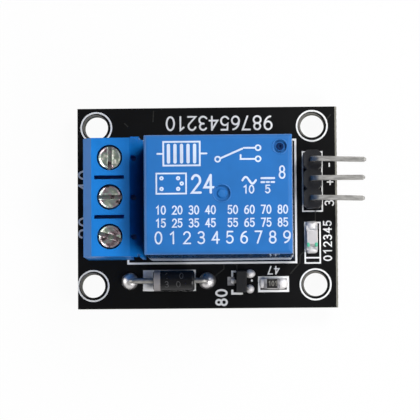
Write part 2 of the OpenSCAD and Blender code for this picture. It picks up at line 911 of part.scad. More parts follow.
// Leaf between screw and wire, its front lip turned up just ahead of the screw
module wire_guard(i) {
    lip_back = screw_back - thread_d / 2 - guard_gap;
    back = frame_x + frame_depth - guard_back;
    color([0.85, 0.83, 0.76])
        at_pole(i)
            translate([0, 0, guard_z])
                along_y(guard_w)
                    polygon([
                        [lip_back, 0],
                        [back, 0],
                        [back, guard_t],
                        [lip_back, guard_t],
                        [lip_back, guard_t + guard_lip],
                        [lip_back - guard_t, guard_t + guard_lip],
                        [lip_back - guard_t, guard_t]
                    ]);
}

// Slotted cheese-head clamp screw
module terminal_screw(i) {
    head_r = screw_head_d / 2;
    thread_r = thread_d / 2;
    bevel = screw_bevel;
    color([0.8, 0.8, 0.78])
        at_pole(i)
            translate([screw_back, 0, 0])
                difference() {
                    rotate_extrude()
                        polygon([
                            [0, tip_z],
                            [thread_r - bevel, tip_z],
                            [thread_r, tip_z + bevel],
                            [thread_r, neck_z],
                            [head_r, neck_z],
                            [head_r, screw_top - bevel],
                            [head_r - bevel, screw_top],
                            [0, screw_top]
                        ]);
                    rotate(screw_turn[i])
                        translate([0, 0, screw_top])
                            cube([2 * screw_head_d, screw_slot_w, 2 * screw_slot_h], center = true);
                }
}

module clamp_frame_1() { clamp_frame(0); }
module clamp_frame_2() { clamp_frame(1); }
module clamp_frame_3() { clamp_frame(2); }
module wire_guard_1() { wire_guard(0); }
module wire_guard_2() { wire_guard(1); }
module wire_guard_3() { wire_guard(2); }
module terminal_screw_1() { terminal_screw(0); }
module terminal_screw_2() { terminal_screw(1); }
module terminal_screw_3() { terminal_screw(2); }

// ---------------------------------------------------------------- header

module at_header(i) {
    place(header_x, header_y + pin_rows[i], deck_z)
        children();
}

// One cell outline with bevelled corners, so that three in a row are notched between
module header_cell() {
    w = header_w / 2;
    p = header_pitch / 2;
    b = header_bevel;
    polygon([
        [w - b, -p], [w, -p + b], [w, p - b], [w - b, p],
        [-w + b, p], [-w, p - b], [-w, -p + b], [-w + b, -p]
    ]);
}

module header_body() {
    color([0.05, 0.05, 0.05])
        difference() {
            for (i = [0:2])
                at_header(i)
                    linear_extrude(header_h)
                        header_cell();
            for (i = [0:2])
                at_header(i)
                    rotate(pin_lean[i])
                        translate([0, 0, header_h / 2])
                            cube([header_pin, header_pin, header_h + 2 * cut], center = true);
        }
}

// Square pin: upright through the body, a bend, and a level run over the board's edge
module header_pin(i) {
    run = (board_l + header_reach - pin_short[i] - header_x - header_bend_r) / cos(pin_lean[i]);
    half = header_pin / 2;
    color([0.75, 0.74, 0.7])
        at_header(i)
            rotate(pin_lean[i]) {
                translate([-half, -half, -board_t - header_tail])
                    cube([header_pin, header_pin,
                        board_t + header_tail + header_rise - header_bend_r]);
                translate([header_bend_r, 0, header_rise - header_bend_r])
                    rotate([90, 0, 0])
                        rotate([0, 0, 90])
                            rotate_extrude(angle = 90)
                                translate([header_bend_r, 0])
                                    square(header_pin, center = true);
                translate([header_bend_r, 0, header_rise])
                    intersection() {
                        along_y(header_pin)
                            pin_side(run);
                        linear_extrude(header_pin, center = true)
                            pin_side(run);
                    }
            }
}

// Side outline of the level run, its last stretch tapered
module pin_side(run) {
    half = header_pin / 2;
    polygon([
        [0, -half],
        [run - half, -half],
        [run, -half / 2],
        [run, half / 2],
        [run - half, half],
        [0, half]
    ]);
}

module header_pin_1() { header_pin(0); }
module header_pin_2() { header_pin(1); }
module header_pin_3() { header_pin(2); }

// ---------------------------------------------------------------- lamp

module at_lamp() {
    place(lamp_x, lamp_y, deck_z + stand_off)
        children();
}

module lamp_base() {
    color([0.85, 0.85, 0.8])
        at_lamp()
            difference() {
                translate([-lamp_w / 2, -lamp_l / 2 + film_t, 0])
                    cube([lamp_w, lamp_l - 2 * film_t, lamp_base_t]);
                for (s = [-1, 1])
                    translate([0, s * lamp_l / 2, -cut])
                        cylinder(r = notch_r, h = lamp_base_t + 2 * cut, $fn = 24);
            }
}

// Outline with both sides leaning in
module drafted(l, h, lean) {
    polygon([[-l / 2, 0], [l / 2, 0], [l / 2 - lean, h], [-l / 2 + lean, h]]);
}

// Clear block with drafted ends and sides
module lamp_lens() {
    l = lamp_l - 2 * lamp_end_l;
    w = lamp_w - 2 * lens_side;
    color([0.9, 0.92, 0.9, 0.7])
        at_lamp()
            translate([0, 0, lamp_base_t])
                intersection() {
                    rotate([0, 0, 90])
                        along_y(w)
                            drafted(l, lamp_lens_h, lens_draft_l);
                    along_y(l)
                        drafted(w, lamp_lens_h, lens_draft_w);
                }
}

// Plated ends: a thin film over the base plate's top and end, with the half-round notch
module lamp_ends() {
    color([0.85, 0.82, 0.7])
        at_lamp()
            for (s = [-1, 1])
                difference() {
                    union() {
                        translate([-lamp_w / 2, s > 0 ? lamp_l / 2 - film_t : -lamp_l / 2, 0])
                            cube([lamp_w, film_t, lamp_base_t + film_t]);
                        translate([-lamp_w / 2, s > 0 ? lamp_l / 2 - lamp_end_l : -lamp_l / 2,
                            lamp_base_t])
                            cube([lamp_w, lamp_end_l, film_t]);
                    }
                    translate([0, s * lamp_l / 2, -cut])
                        cylinder(r = notch_r, h = lamp_base_t + 2 * cut, $fn = 24);
                }
}

// ---------------------------------------------------------------- diode

module at_diode() {
    place(diode_x, row_y, deck_z + diode_axis)
        children();
}

// Moulded body with a bevelled rim at each end, closed round the ends of its two leads
module diode_body() {
    r = diode_d / 2;
    bevel = diode_bevel;
    color([0.06, 0.06, 0.06])
        at_diode()
            difference() {
                translate([diode_shift, 0, 0])
                    rotate([0, 90, 0])
                        rotate_extrude()
                            polygon([
                                [0, -diode_l / 2],
                                [r - bevel, -diode_l / 2],
                                [r, -diode_l / 2 + bevel],
                                [r, diode_l / 2 - bevel],
                                [r - bevel, diode_l / 2],
                                [0, diode_l / 2]
                            ]);
                diode_lead(1);
                diode_lead(-1);
            }
}

// One lead from the die out to its hole, bent down and cut below the board
module diode_lead(s) {
    out = diode_span / 2 - diode_bend_r;
    root = s * diode_shift + die_t / 2;
    mirror([s < 0 ? 1 : 0, 0, 0]) {
        translate([root, 0, 0])
            rotate([0, 90, 0])
                cylinder(d = diode_lead_d, h = out - root, $fn = 24);
        translate([out, 0, -diode_bend_r])
            rotate([90, 0, 0])
                rotate_extrude(angle = 90, $fn = 48)
                    translate([diode_bend_r, 0])
                        circle(d = diode_lead_d, $fn = 24);
        translate([diode_span / 2, 0, -diode_axis - board_t - diode_tail])
            cylinder(d = diode_lead_d, h = diode_axis + board_t + diode_tail - diode_bend_r,
                $fn = 24);
    }
}

module diode_leads() {
    color([0.78, 0.77, 0.74])
        at_diode() {
            diode_lead(1);
            diode_lead(-1);
        }
}

// ---------------------------------------------------------------- transistor

module at_transistor() {
    place(transistor_x, transistor_y, deck_z + stand_off)
        children();
}

// Six-sided end outline, widest at the parting line
module parted(w) {
    h = transistor_h;
    polygon([
        [-w / 2 + transistor_draft, 0], [w / 2 - transistor_draft, 0], [w / 2, h / 2],
        [w / 2 - transistor_draft, h], [-w / 2 + transistor_draft, h], [-w / 2, h / 2]
    ]);
}

module transistor_body() {
    color([0.06, 0.06, 0.065])
        at_transistor()
            intersection() {
                along_y(transistor_l)
                    parted(transistor_w);
                rotate([0, 0, 90])
                    along_y(transistor_w)
                        parted(transistor_l);
            }
}

// Gull-wing lead that starts on the body's parting line
module gull_wing(s) {
    root = transistor_w / 2;
    knee = root + wing_run;
    foot = transistor_span / 2;
    mid = transistor_h / 2;
    half = wing_t / 2;
    along_y(transistor_lead_w)
        polygon([for (p = [
            [root, mid + half], [knee, mid + half], [knee + wing_t, mid - half],
            [knee + wing_t, wing_t], [foot, wing_t], [foot, 0], [knee + half, 0],
            [knee, half], [knee, mid - half], [root, mid - half]
        ]) [s * p[0], p[1]]]);
}

transistor_feet = [[-1, 0], [1, transistor_pitch / 2], [1, -transistor_pitch / 2]];

module transistor_leads() {
    color([0.75, 0.74, 0.72])
        at_transistor()
            for (f = transistor_feet)
                translate([0, f[1], 0])
                    gull_wing(f[0]);
}

// ---------------------------------------------------------------- resistor

module at_resistor() {
    place(resistor_x, resistor_y, deck_z + stand_off)
        children();
}

module resistor_body() {
    color([0.9, 0.9, 0.88])
        at_resistor()
            slab(-resistor_l / 2 + film_t, resistor_l / 2 - film_t, resistor_w,
                film_t, resistor_h - film_t);
}

module resistor_glaze() {
    color([0.1, 0.09, 0.09])
        at_resistor()
            slab(-resistor_l / 2 + resistor_end_l, resistor_l / 2 - resistor_end_l,
                resistor_w - 2 * glaze_rim, resistor_h - film_t, resistor_h);
}

module resistor_ends() {
    color([0.8, 0.8, 0.79])
        at_resistor()
            for (s = [-1, 1])
                mirror([s < 0 ? 1 : 0, 0, 0])
                    difference() {
                        slab(resistor_l / 2 - resistor_end_l, resistor_l / 2, resistor_w,
                            0, resistor_h);
                        slab(0, resistor_l / 2 - film_t, resistor_w + 2 * cut, film_t,
                            resistor_h - film_t);
                    }
}

// ---------------------------------------------------------------- solder

// Hollow-sided cone under the board round a pin
module solder_cone(drill_r, pin_r) {
    pad_r = drill_r + pad_ring;
    tip_r = pin_r + fillet;
    n = 5;
    translate([0, 0, board_z])
        rotate_extrude($fn = 40)
            polygon(concat(
                [[0, 0], [pad_r, 0]],
                [for (i = [1:n]) let (t = i / n)
                    [tip_r + (pad_r - tip_r) * pow(1 - t, 2), -solder_h * t]],
                [[0, -solder_h]]
            ));
}

module relay_solder() {
    color([0.72, 0.72, 0.72])
        difference() {
            union() {
                for (p = relay_flat_pins)
                    place(relay_x + p[0], relay_y + p[1], 0)
                        solder_cone(contact_drill, contact_pin_w / 2);
                for (p = relay_coil_pin_rows)
                    place(relay_x + p[0], relay_y + p[1], 0)
                        solder_cone(coil_drill, coil_pin * sqrt(2) / 2);
            }
            at_relay()
                pin_cuts(0);
        }
}

module terminal_solder() {
    color([0.72, 0.72, 0.72])
        for (y = pole_y)
            place(terminal_x + screw_back, terminal_y + y, 0)
                difference() {
                    solder_cone(terminal_drill, norm([terminal_pin_w, terminal_pin_t]) / 2);
                    slab(-terminal_pin_w / 2, terminal_pin_w / 2, terminal_pin_t, 0, deck_z);
                }
}

module header_solder() {
    color([0.72, 0.72, 0.72])
        for (i = [0:2])
            place(header_x, header_y + pin_rows[i], 0)
                difference() {
                    solder_cone(header_drill, header_pin * sqrt(2) / 2);
                    rotate(pin_lean[i])
                        slab(-header_pin / 2, header_pin / 2, header_pin, 0, deck_z);
                }
}

// Cap of a sphere that stands on the board
module solder_cap(d, h) {
    r = (pow(d / 2, 2) + pow(h, 2)) / (2 * h);
    intersection() {
        translate([0, 0, h - r])
            sphere(r = r, $fn = 48);
        translate([-d, -d, 0])
            cube([2 * d, 2 * d, 2 * h]);
    }
}

// Domes on top of the board and cones below it
module diode_solder() {
    color([0.76, 0.76, 0.76])
        difference() {
            for (x = [0, diode_span]) {
                place(diode_west + x, row_y, 0)
                    solder_cone(diode_drill, diode_lead_d / 2);
                place(diode_west + x, row_y, deck_z)
                    solder_cap(dome_d, dome_h);
            }
            diode_leads();
        }
}

// Toe of solder in front of a surface-mounted end, its face hollow, toe towards +X
module solder_toe(w, l, h) {
    n = 4;
    along_y(w)
        polygon(concat(
            [[0, 0]],
            [for (i = [0:n]) let (t = i / n) [l * pow(1 - t, 1.5), h * pow(t, 1.5)]]
        ));
}

module lamp_solder() {
    color([0.76, 0.76, 0.76])
        for (s = [-1, 1])
            place(lamp_x, lamp_y + s * lamp_l / 2, deck_z)
                rotate(s * 90)
                    solder_toe(lamp_w, toe_l, lamp_base_t);
}

// Low dome over the tip of each foot
module transistor_solder() {
    color([0.76, 0.76, 0.76])
        difference() {
            for (f = transistor_feet)
                place(transistor_x + f[0] * foot_cap_x, transistor_y + f[1], deck_z)
                    solder_cap(foot_cap_d, foot_cap_h);
            transistor_leads();
        }
}

module resistor_solder() {
    color([0.76, 0.76, 0.76])
        for (s = [-1, 1])
            place(resistor_x + s * resistor_l / 2, resistor_y, deck_z)
                rotate(s > 0 ? 0 : 180)
                    solder_toe(resistor_w, toe_l, resistor_h);
}

circuit_board();
relay_case();
relay_base();
relay_sealant();
relay_coil_pins();
relay_common_pin();
relay_make_strip();
relay_break_strip();
relay_make_contact();
relay_break_contact();
relay_yoke();
relay_core();
relay_bobbin();
relay_winding();
relay_armature();
relay_contact_spring();
relay_moving_contact();
terminal_housing();
clamp_frame_1();
clamp_frame_2();
clamp_frame_3();
wire_guard_1();
wire_guard_2();
wire_guard_3();
terminal_screw_1();
terminal_screw_2();
terminal_screw_3();
header_body();
header_pin_1();
header_pin_2();
header_pin_3();
lamp_base();
lamp_lens();
lamp_ends();
diode_body();
diode_leads();
transistor_body();
transistor_leads();
resistor_body();
resistor_glaze();
resistor_ends();
relay_solder();
terminal_solder();
header_solder();
diode_solder();
lamp_solder();
transistor_solder();
resistor_solder();
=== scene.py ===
# %% [markdown]
# # A relay module board
# The solids come from the CAD model and already stand where they belong. This lesson gives
# them their finishes, softens the moulded edges, and adds what is printed, plated or soldered.
# Lengths are written in millimetres and turned into metres when a mesh is made.

# %% Load the frame
import math
import bmesh
import bpy
import numpy as np
from mathutils import Matrix, Vector


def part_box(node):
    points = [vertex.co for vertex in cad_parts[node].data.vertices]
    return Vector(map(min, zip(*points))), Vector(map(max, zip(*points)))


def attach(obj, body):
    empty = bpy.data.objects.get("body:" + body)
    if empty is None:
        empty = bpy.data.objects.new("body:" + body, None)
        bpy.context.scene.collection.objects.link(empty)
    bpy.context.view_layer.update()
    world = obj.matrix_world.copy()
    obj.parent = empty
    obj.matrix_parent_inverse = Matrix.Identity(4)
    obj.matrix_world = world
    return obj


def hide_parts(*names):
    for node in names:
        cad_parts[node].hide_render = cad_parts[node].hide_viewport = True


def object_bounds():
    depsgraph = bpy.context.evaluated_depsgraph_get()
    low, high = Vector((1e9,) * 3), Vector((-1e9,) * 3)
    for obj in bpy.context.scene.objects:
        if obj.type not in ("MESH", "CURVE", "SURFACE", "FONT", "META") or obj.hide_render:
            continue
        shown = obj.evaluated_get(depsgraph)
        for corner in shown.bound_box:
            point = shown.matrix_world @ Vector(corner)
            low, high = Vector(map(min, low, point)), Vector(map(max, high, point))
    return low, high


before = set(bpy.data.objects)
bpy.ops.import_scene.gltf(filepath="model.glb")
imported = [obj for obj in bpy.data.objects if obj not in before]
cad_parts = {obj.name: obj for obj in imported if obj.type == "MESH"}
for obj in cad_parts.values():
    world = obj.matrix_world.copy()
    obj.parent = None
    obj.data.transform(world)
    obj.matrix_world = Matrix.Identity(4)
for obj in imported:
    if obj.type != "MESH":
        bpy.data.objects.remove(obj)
cad_bounds = [list(corner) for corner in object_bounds()]
MM = 0.001
LAYER = 0.003  # strokes that cross lie this much above one another

# %% [markdown]
# ## Where things are
# The places of the solids are read from their boxes. The deck is the board's top face, which
# everything printed or soldered lies on.

# %% Places
def low(node):
    """Lowest corner of a solid, in millimetres."""
    return np.array(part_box(node)[0]) / MM


def high(node):
    """Highest corner of a solid, in millimetres."""
    return np.array(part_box(node)[1]) / MM


def middle(node):
    """Centre of a solid's box, in millimetres."""
    return (low(node) + high(node)) / 2


DECK = high("circuit_board")[2]
UNDER = low("circuit_board")[2]
ROOF = high("relay_case")[2]
WEST, SOUTH = low("circuit_board")[:2]
EAST, NORTH = high("circuit_board")[:2]
RELAY = middle("relay_case")[:2]
print("deck at", round(float(DECK), 3), "relay roof at", round(float(ROOF), 3))

# %% [markdown]
# ## Making meshes from arrays
# A surface is a grid of points. Each cell of the grid becomes a four-sided face, and a grid
# may close on itself in either direction, as a tube or a ring does. Whole arrays are filled
# at once, so a fine surface costs no more code than a coarse one.

# %% Grid helpers
def grid_faces(rows, cols, ring_rows=False, ring_cols=False):
    """Four corner numbers of each cell: (i, j), (i+1, j), (i+1, j+1), (i, j+1)."""
    i = np.arange(rows if ring_rows else rows - 1)[:, None]
    j = np.arange(cols if ring_cols else cols - 1)[None, :]
    i2, j2 = (i + 1) % rows, (j + 1) % cols
    cells = (i * cols + j, i2 * cols + j, i2 * cols + j2, i * cols + j2)
    return np.stack(cells, axis=-1).reshape(-1, 4)


def build(name, grids, finish, body="module", replaces=()):
    """One object from several grids of points (rows, cols, 3), each with its two ring flags."""
    points, faces, start = [], [], 0
    for pts, ring_rows, ring_cols in grids:
        rows, cols = pts.shape[:2]
        points.append(pts.reshape(-1, 3))
        faces.append(grid_faces(rows, cols, ring_rows, ring_cols) + start)
        start += rows * cols
    mesh = bpy.data.meshes.new(name)
    mesh.from_pydata((np.concatenate(points) * MM).tolist(), [], np.concatenate(faces).tolist())
    work = bmesh.new()
    work.from_mesh(mesh)
    bmesh.ops.remove_doubles(work, verts=work.verts, dist=1e-7)
    bmesh.ops.dissolve_degenerate(work, edges=work.edges, dist=1e-8)
    bmesh.ops.recalc_face_normals(work, faces=work.faces)
    work.to_mesh(mesh)
    work.free()
    return settle(bpy.data.objects.new(name, mesh), finish, body, replaces)


def settle(obj, finish, body="module", replaces=()):
    """Links an object, gives it its finish and body, and smooths all but its sharp edges."""
    if obj.name not in bpy.context.scene.collection.objects:
        bpy.context.scene.collection.objects.link(obj)
    obj.data.materials.clear()
    obj.data.materials.append(finish)
    obj.data.polygons.foreach_set("use_smooth", np.ones(len(obj.data.polygons), bool))
    obj.data.set_sharp_from_angle(angle=math.radians(35))
    if body:
        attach(obj, body)
    if replaces:
        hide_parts(*replaces)
    return obj


# %% [markdown]
# ## Finishes
# Every finish is a Principled shader with noise in Object coordinates, so that nothing swims
# when the object is turned. The scale of each noise is in spots per millimetre, which keeps
# grain, mottling and brushing at the size that they have on a small board.

# %% Shader helpers
MIX_FIRST, MIX_SECOND, MIX_COLOR = 6, 7, 2  # colour sockets of a Mix node


def new_finish(name, color, rough, metal=0.0, specular=0.5, coat=0.0):
    """A Principled material with its constant values set on the shader's own sockets."""
    material = bpy.data.materials.new(name)
    material.use_nodes = True
    shader = material.node_tree.nodes["Principled BSDF"]
    shader.inputs["Base Color"].default_value = (*color, 1)
    shader.inputs["Roughness"].default_value = rough
    shader.inputs["Metallic"].default_value = metal
    shader.inputs["Specular IOR Level"].default_value = specular
    shader.inputs["Coat Weight"].default_value = coat
    return material, material.node_tree, shader


def spots(tree, per_mm, stretch=(1, 1, 1), detail=3.0):
    """Noise from 0 to 1 with about per_mm spots along a millimetre."""
    coord = tree.nodes.new("ShaderNodeTexCoord")
    place = tree.nodes.new("ShaderNodeMapping")
    place.inputs["Scale"].default_value = [s / MM for s in stretch]
    noise = tree.nodes.new("ShaderNodeTexNoise")
    noise.inputs["Scale"].default_value = per_mm
    noise.inputs["Detail"].default_value = detail
    tree.links.new(coord.outputs["Object"], place.inputs["Vector"])
    tree.links.new(place.outputs["Vector"], noise.inputs["Vector"])
    return noise.outputs["Fac"]


def ramp(tree, value, stops):
    """Colours along a value, as pairs of a place from 0 to 1 and a colour."""
    node = tree.nodes.new("ShaderNodeValToRGB")
    while len(node.color_ramp.elements) < len(stops):
        node.color_ramp.elements.new(0.5)
    for element, (place, color) in zip(node.color_ramp.elements, stops):
        element.position = place
        element.color = (*color, 1)
    tree.links.new(value, node.inputs["Fac"])
    return node.outputs["Color"]


def spread(tree, value, start, end, from_start=0.3, from_end=0.7):
    """Maps a value from one range onto another, clamped."""
    node = tree.nodes.new("ShaderNodeMapRange")
    node.inputs["From Min"].default_value = from_start
    node.inputs["From Max"].default_value = from_end
    node.inputs["To Min"].default_value = start
    node.inputs["To Max"].default_value = end
    tree.links.new(value, node.inputs["Value"])
    return node.outputs["Result"]


def bumped(tree, shader, value, height):
    """Relief from a value, height in millimetres between its lowest and highest places. It is
    laid over the relief that the shader already has."""
    node = tree.nodes.new("ShaderNodeBump")
    for link in shader.inputs["Normal"].links:
        tree.links.new(link.from_socket, node.inputs["Normal"])
    node.inputs["Strength"].default_value = 1.0
    node.inputs["Distance"].default_value = height * MM
    tree.links.new(value, node.inputs["Height"])
    tree.links.new(node.outputs["Normal"], shader.inputs["Normal"])


def facing_up(tree, start=0.4, end=0.8):
    """1 where a face looks up or down and 0 on the sides."""
    geometry = tree.nodes.new("ShaderNodeNewGeometry")
    parts = tree.nodes.new("ShaderNodeSeparateXYZ")
    size = tree.nodes.new("ShaderNodeMath")
    size.operation = "ABSOLUTE"
    tree.links.new(geometry.outputs["Normal"], parts.inputs["Vector"])
    tree.links.new(parts.outputs["Z"], size.inputs[0])
    return spread(tree, size.outputs[0], 0.0, 1.0, start, end)


def mixed(tree, value, first, second):
    """Blends two colours by a value."""
    node = tree.nodes.new("ShaderNodeMix")
    node.data_type = "RGBA"
    tree.links.new(value, node.inputs[0])
    for socket, color in ((node.inputs[MIX_FIRST], first), (node.inputs[MIX_SECOND], second)):
        if isinstance(color, bpy.types.NodeSocket):
            tree.links.new(color, socket)
        else:
            socket.default_value = (*color, 1)
    return node.outputs[MIX_COLOR]


def product(tree, first, second):
    """Two values multiplied."""
    node = tree.nodes.new("ShaderNodeMath")
    node.operation = "MULTIPLY"
    tree.links.new(first, node.inputs[0])
    tree.links.new(second, node.inputs[1])
    return node.outputs[0]


# %% [markdown]
# Plastic gets a faint cloud in its colour and a fine grain. The relay's case also has polished
# sides, which mirror the print on the board, and whose colour is painted darker as shade.

# %% Plastics, resin and ceramics
# painted shade: the part of its colour that a polished side keeps
PAINTED_SIDE_SHADE = 0.5
SINK_MARKS_PER_MM, SINK_DEPTH = 0.07, 0.16


def moulded(name, color, rough, grain, depth, mottle=0.1, specular=0.5, side_rough=None):
    """Plastic with fine grain and a faint cloud in its colour. Where side_rough is given, the
    sides are polished to it, are painted darker as shade, and have slow sink marks in place of the grain."""
    material, tree, shader = new_finish(name, color, rough, specular=specular)
    cloud = spots(tree, 0.35)
    pale = [c * (1 + mottle) for c in color]
    deep = [c * (1 - mottle) for c in color]
    tint = ramp(tree, cloud, [(0.3, deep), (0.7, pale)])
    relief = spots(tree, grain)
    if side_rough is not None:
        up = facing_up(tree, 0.05, 0.25)
        tree.links.new(spread(tree, up, side_rough, rough, 0.0, 1.0), shader.inputs["Roughness"])
        # painted shade: the sides take a darker copy of the colour
        tint = mixed(tree, up, [c * PAINTED_SIDE_SHADE for c in color], tint)
        relief = product(tree, relief, up)
        sides = spread(tree, up, 1.0, 0.0, 0.0, 1.0)
        sinks = spots(tree, SINK_MARKS_PER_MM, detail=0.0)
        bumped(tree, shader, product(tree, sinks, sides), SINK_DEPTH)
    tree.links.new(tint, shader.inputs["Base Color"])
    bumped(tree, shader, relief, depth)
    return material


RELAY_BLUE = moulded("relay_blue_plastic", (0.012, 0.150, 0.47), 0.42, 7, 0.004, 0.06, 0.45, 0.07)
TERMINAL_BLUE = moulded("terminal_blue_plastic", (0.006, 0.195, 0.63), 0.30, 5, 0.006, 0.08, 0.5)
HEADER_BLACK = moulded("header_black_plastic", (0.016, 0.016, 0.018), 0.42, 6, 0.012, 0.3, 0.35)
BOBBIN_WHITE = moulded("bobbin_plastic", (0.62, 0.58, 0.46), 0.5, 5, 0.01)
BASE_BLACK = moulded("relay_base_plastic", (0.02, 0.02, 0.022), 0.55, 6, 0.01, 0.2)
SEAL_BLUE = moulded("sealing_resin", (0.02, 0.07, 0.18), 0.25, 1.2, 0.05, 0.2)
DIODE_BLACK = moulded("diode_epoxy", (0.008, 0.008, 0.009), 0.2, 9, 0.004, 0.3, 0.3)
CHIP_BLACK = moulded("transistor_epoxy", (0.013, 0.013, 0.014), 0.55, 14, 0.015, 0.3, 0.4)
CERAMIC = moulded("white_ceramic", (0.75, 0.75, 0.72), 0.5, 10, 0.004)
LAMINATE = moulded("white_laminate", (0.84, 0.80, 0.79), 0.5, 8, 0.004)
GLAZE = moulded("resistor_glaze", (0.02, 0.018, 0.018), 0.3, 8, 0.004, 0.3)
SILK = moulded("silk_ink", (0.84, 0.84, 0.84), 0.6, 10, 0.006, 0.05, 0.3)
ROOF_INK = moulded("roof_ink", (0.62, 0.70, 0.86), 0.55, 8, 0.005, 0.1, 0.3)
BAND_INK = moulded("diode_band", (0.26, 0.245, 0.25), 0.45, 8, 0.006, 0.2)
FAINT_INK = moulded("diode_figures", (0.048, 0.048, 0.050), 0.5, 8, 0.003, 0.2)
BARE = moulded("bare_laminate", (0.20, 0.195, 0.165), 0.75, 6, 0.02, 0.3)
DRILLED = moulded("drilled_laminate", (0.115, 0.11, 0.098), 0.7, 6, 0.02, 0.3)
# painted shade: a dark blue for plastic that lies in shade
PAINTED_SHADE_BLUE = moulded("painted_shade_plastic", (0.002, 0.018, 0.085), 0.6, 6, 0.002, specular=0.1)
CODE_INK = moulded("resistor_code", (0.34, 0.33, 0.29), 0.6, 12, 0.003, 0.1)
print("moulded finishes made")

# %% [markdown]
# Metal takes its colour, its gloss and its relief from noise, so that a bright spot is also a
# smooth one. Noise that is stretched along one axis looks brushed.

# %% Metals
GLOSS_SPREAD = 0.1


def metal(name, stops, rough, streak=(1, 1, 1), per_mm=2.0, depth=0.01, share=1.0):
    """Metal from noise, as metallic as share says. A stretched streak makes it look brushed."""
    material, tree, shader = new_finish(name, stops[0][1], rough, metal=share)
    noise = spots(tree, per_mm, streak, 5.0)
    tree.links.new(ramp(tree, noise, stops), shader.inputs["Base Color"])
    gloss = spread(tree, noise, max(rough - GLOSS_SPREAD, 0.05), rough + GLOSS_SPREAD)
    tree.links.new(gloss, shader.inputs["Roughness"])
    bumped(tree, shader, spots(tree, per_mm * 2, streak), depth)
    return material


def two_tones(dark, pale):
    """Ramp stops for a metal that varies between two colours."""
    return [(0.3, dark), (0.7, pale)]


ZINC_TONES = [(0.32, (0.10, 0.085, 0.08)), (0.44, (0.50, 0.37, 0.40)), (0.50, (0.40, 0.46, 0.44)),
              (0.58, (0.36, 0.44, 0.34)), (0.70, (0.80, 0.76, 0.70))]
TIN = metal("tinned_pin", two_tones((0.26, 0.255, 0.24), (0.42, 0.41, 0.39)),
            0.5, (0.25, 1, 1), 4, 0.006)
SOLDER = metal("bright_solder", two_tones((0.50, 0.49, 0.50), (0.74, 0.72, 0.71)),
               0.36, per_mm=1.2, depth=0.03)
PALE_SOLDER = metal("pale_solder", two_tones((0.74, 0.72, 0.72), (0.88, 0.86, 0.85)),
                    0.6, per_mm=1.5, depth=0.02, share=0.5)
ZINC = metal("zinc_screw", ZINC_TONES, 0.34, per_mm=1.1, depth=0.05)
BRASS = metal("plated_brass", two_tones((0.50, 0.47, 0.40), (0.66, 0.63, 0.56)),
              0.3, (1, 1, 0.3), 3)
IRON = metal("relay_iron", two_tones((0.32, 0.32, 0.33), (0.48, 0.48, 0.48)),
             0.35, (0.3, 1, 1), 3)
BRONZE = metal("contact_bronze", two_tones((0.50, 0.33, 0.17), (0.68, 0.48, 0.28)),
               0.3, (0.3, 1, 1), 3)
SILVER = metal("contact_silver", two_tones((0.70, 0.69, 0.67), (0.86, 0.85, 0.83)),
               0.25, per_mm=3)
COPPER = metal("copper_wire", two_tones((0.42, 0.16, 0.06), (0.62, 0.28, 0.13)),
               0.3, (0.15, 0.15, 3), 3, 0.03)
PAD_TIN = metal("pad_tin", two_tones((0.30, 0.29, 0.29), (0.46, 0.45, 0.45)),
                0.45, per_mm=3, depth=0.015)
print("metal finishes made")

# %% [markdown]
# ## The board: black mask over laminate
# A black lacquer covers both faces, while the sawn edges and the drilled holes show the bare
# glass laminate in thin layers. One material does both: it asks each face which way it looks.

# %% Solder mask
def make_mask(name, black, sheen):
    """Black lacquer where a face looks up or down, layered laminate on the sides."""
    material, tree, shader = new_finish(name, black, 0.3, specular=sheen)
    lacquer = ramp(tree, spots(tree, 0.25), [(0.3, black), (0.7, [c * 1.35 for c in black])])
    layers = spots(tree, 1.5, (0.4, 0.4, 6))
    glass = ramp(tree, layers, [(0.35, (0.075, 0.078, 0.058)), (0.65, (0.23, 0.23, 0.18))])
    flat = facing_up(tree)
    tree.links.new(mixed(tree, flat, glass, lacquer), shader.inputs["Base Color"])
    tree.links.new(spread(tree, flat, 0.75, 0.34, 0.0, 1.0), shader.inputs["Roughness"])
    bumped(tree, shader, spots(tree, 2.5), 0.006)
    return material


MASK = make_mask("solder_mask", (0.0046, 0.0046, 0.0048), 0.12)
TRACE_MASK = make_mask("mask_over_copper", (0.011, 0.0108, 0.0095), 0.4)
print("masks made")

# %% [markdown]
# ## The lamp's own materials
# The lens is a milky resin that lets a part of the light through. The ends are plated.

# %% Clear resin of the lamp
def make_clear(name, color, rough, through):
    """Milky clear resin: mostly let through, with slow clouds in its colour."""
    material, tree, shader = new_finish(name, color, rough)
    shader.inputs["Transmission Weight"].default_value = through
    shader.inputs["IOR"].default_value = 1.5
    cloud = spots(tree, 1.5)
    pale = ramp(tree, cloud, [(0.3, color), (0.7, [min(c * 1.1, 1) for c in color])])
    tree.links.new(pale, shader.inputs["Base Color"])
    bumped(tree, shader, spots(tree, 4), 0.008)
    return material


CLEAR = make_clear("clear_epoxy", (0.86, 0.82, 0.82), 0.2, 0.3)
GREEN_INK = moulded("green_mark", (0.10, 0.55, 0.33), 0.5, 8, 0.004)
LAMP_TIN = metal("lamp_plating", two_tones((0.74, 0.73, 0.72), (0.92, 0.91, 0.90)), 0.4, per_mm=4)
print("lamp finishes made")

# %% [markdown]
# ## Finishes on the solids
# Most solids keep their CAD shape and only need the right finish, so one table pairs them up.
# A name that ends in a star stands for the numbered copies.

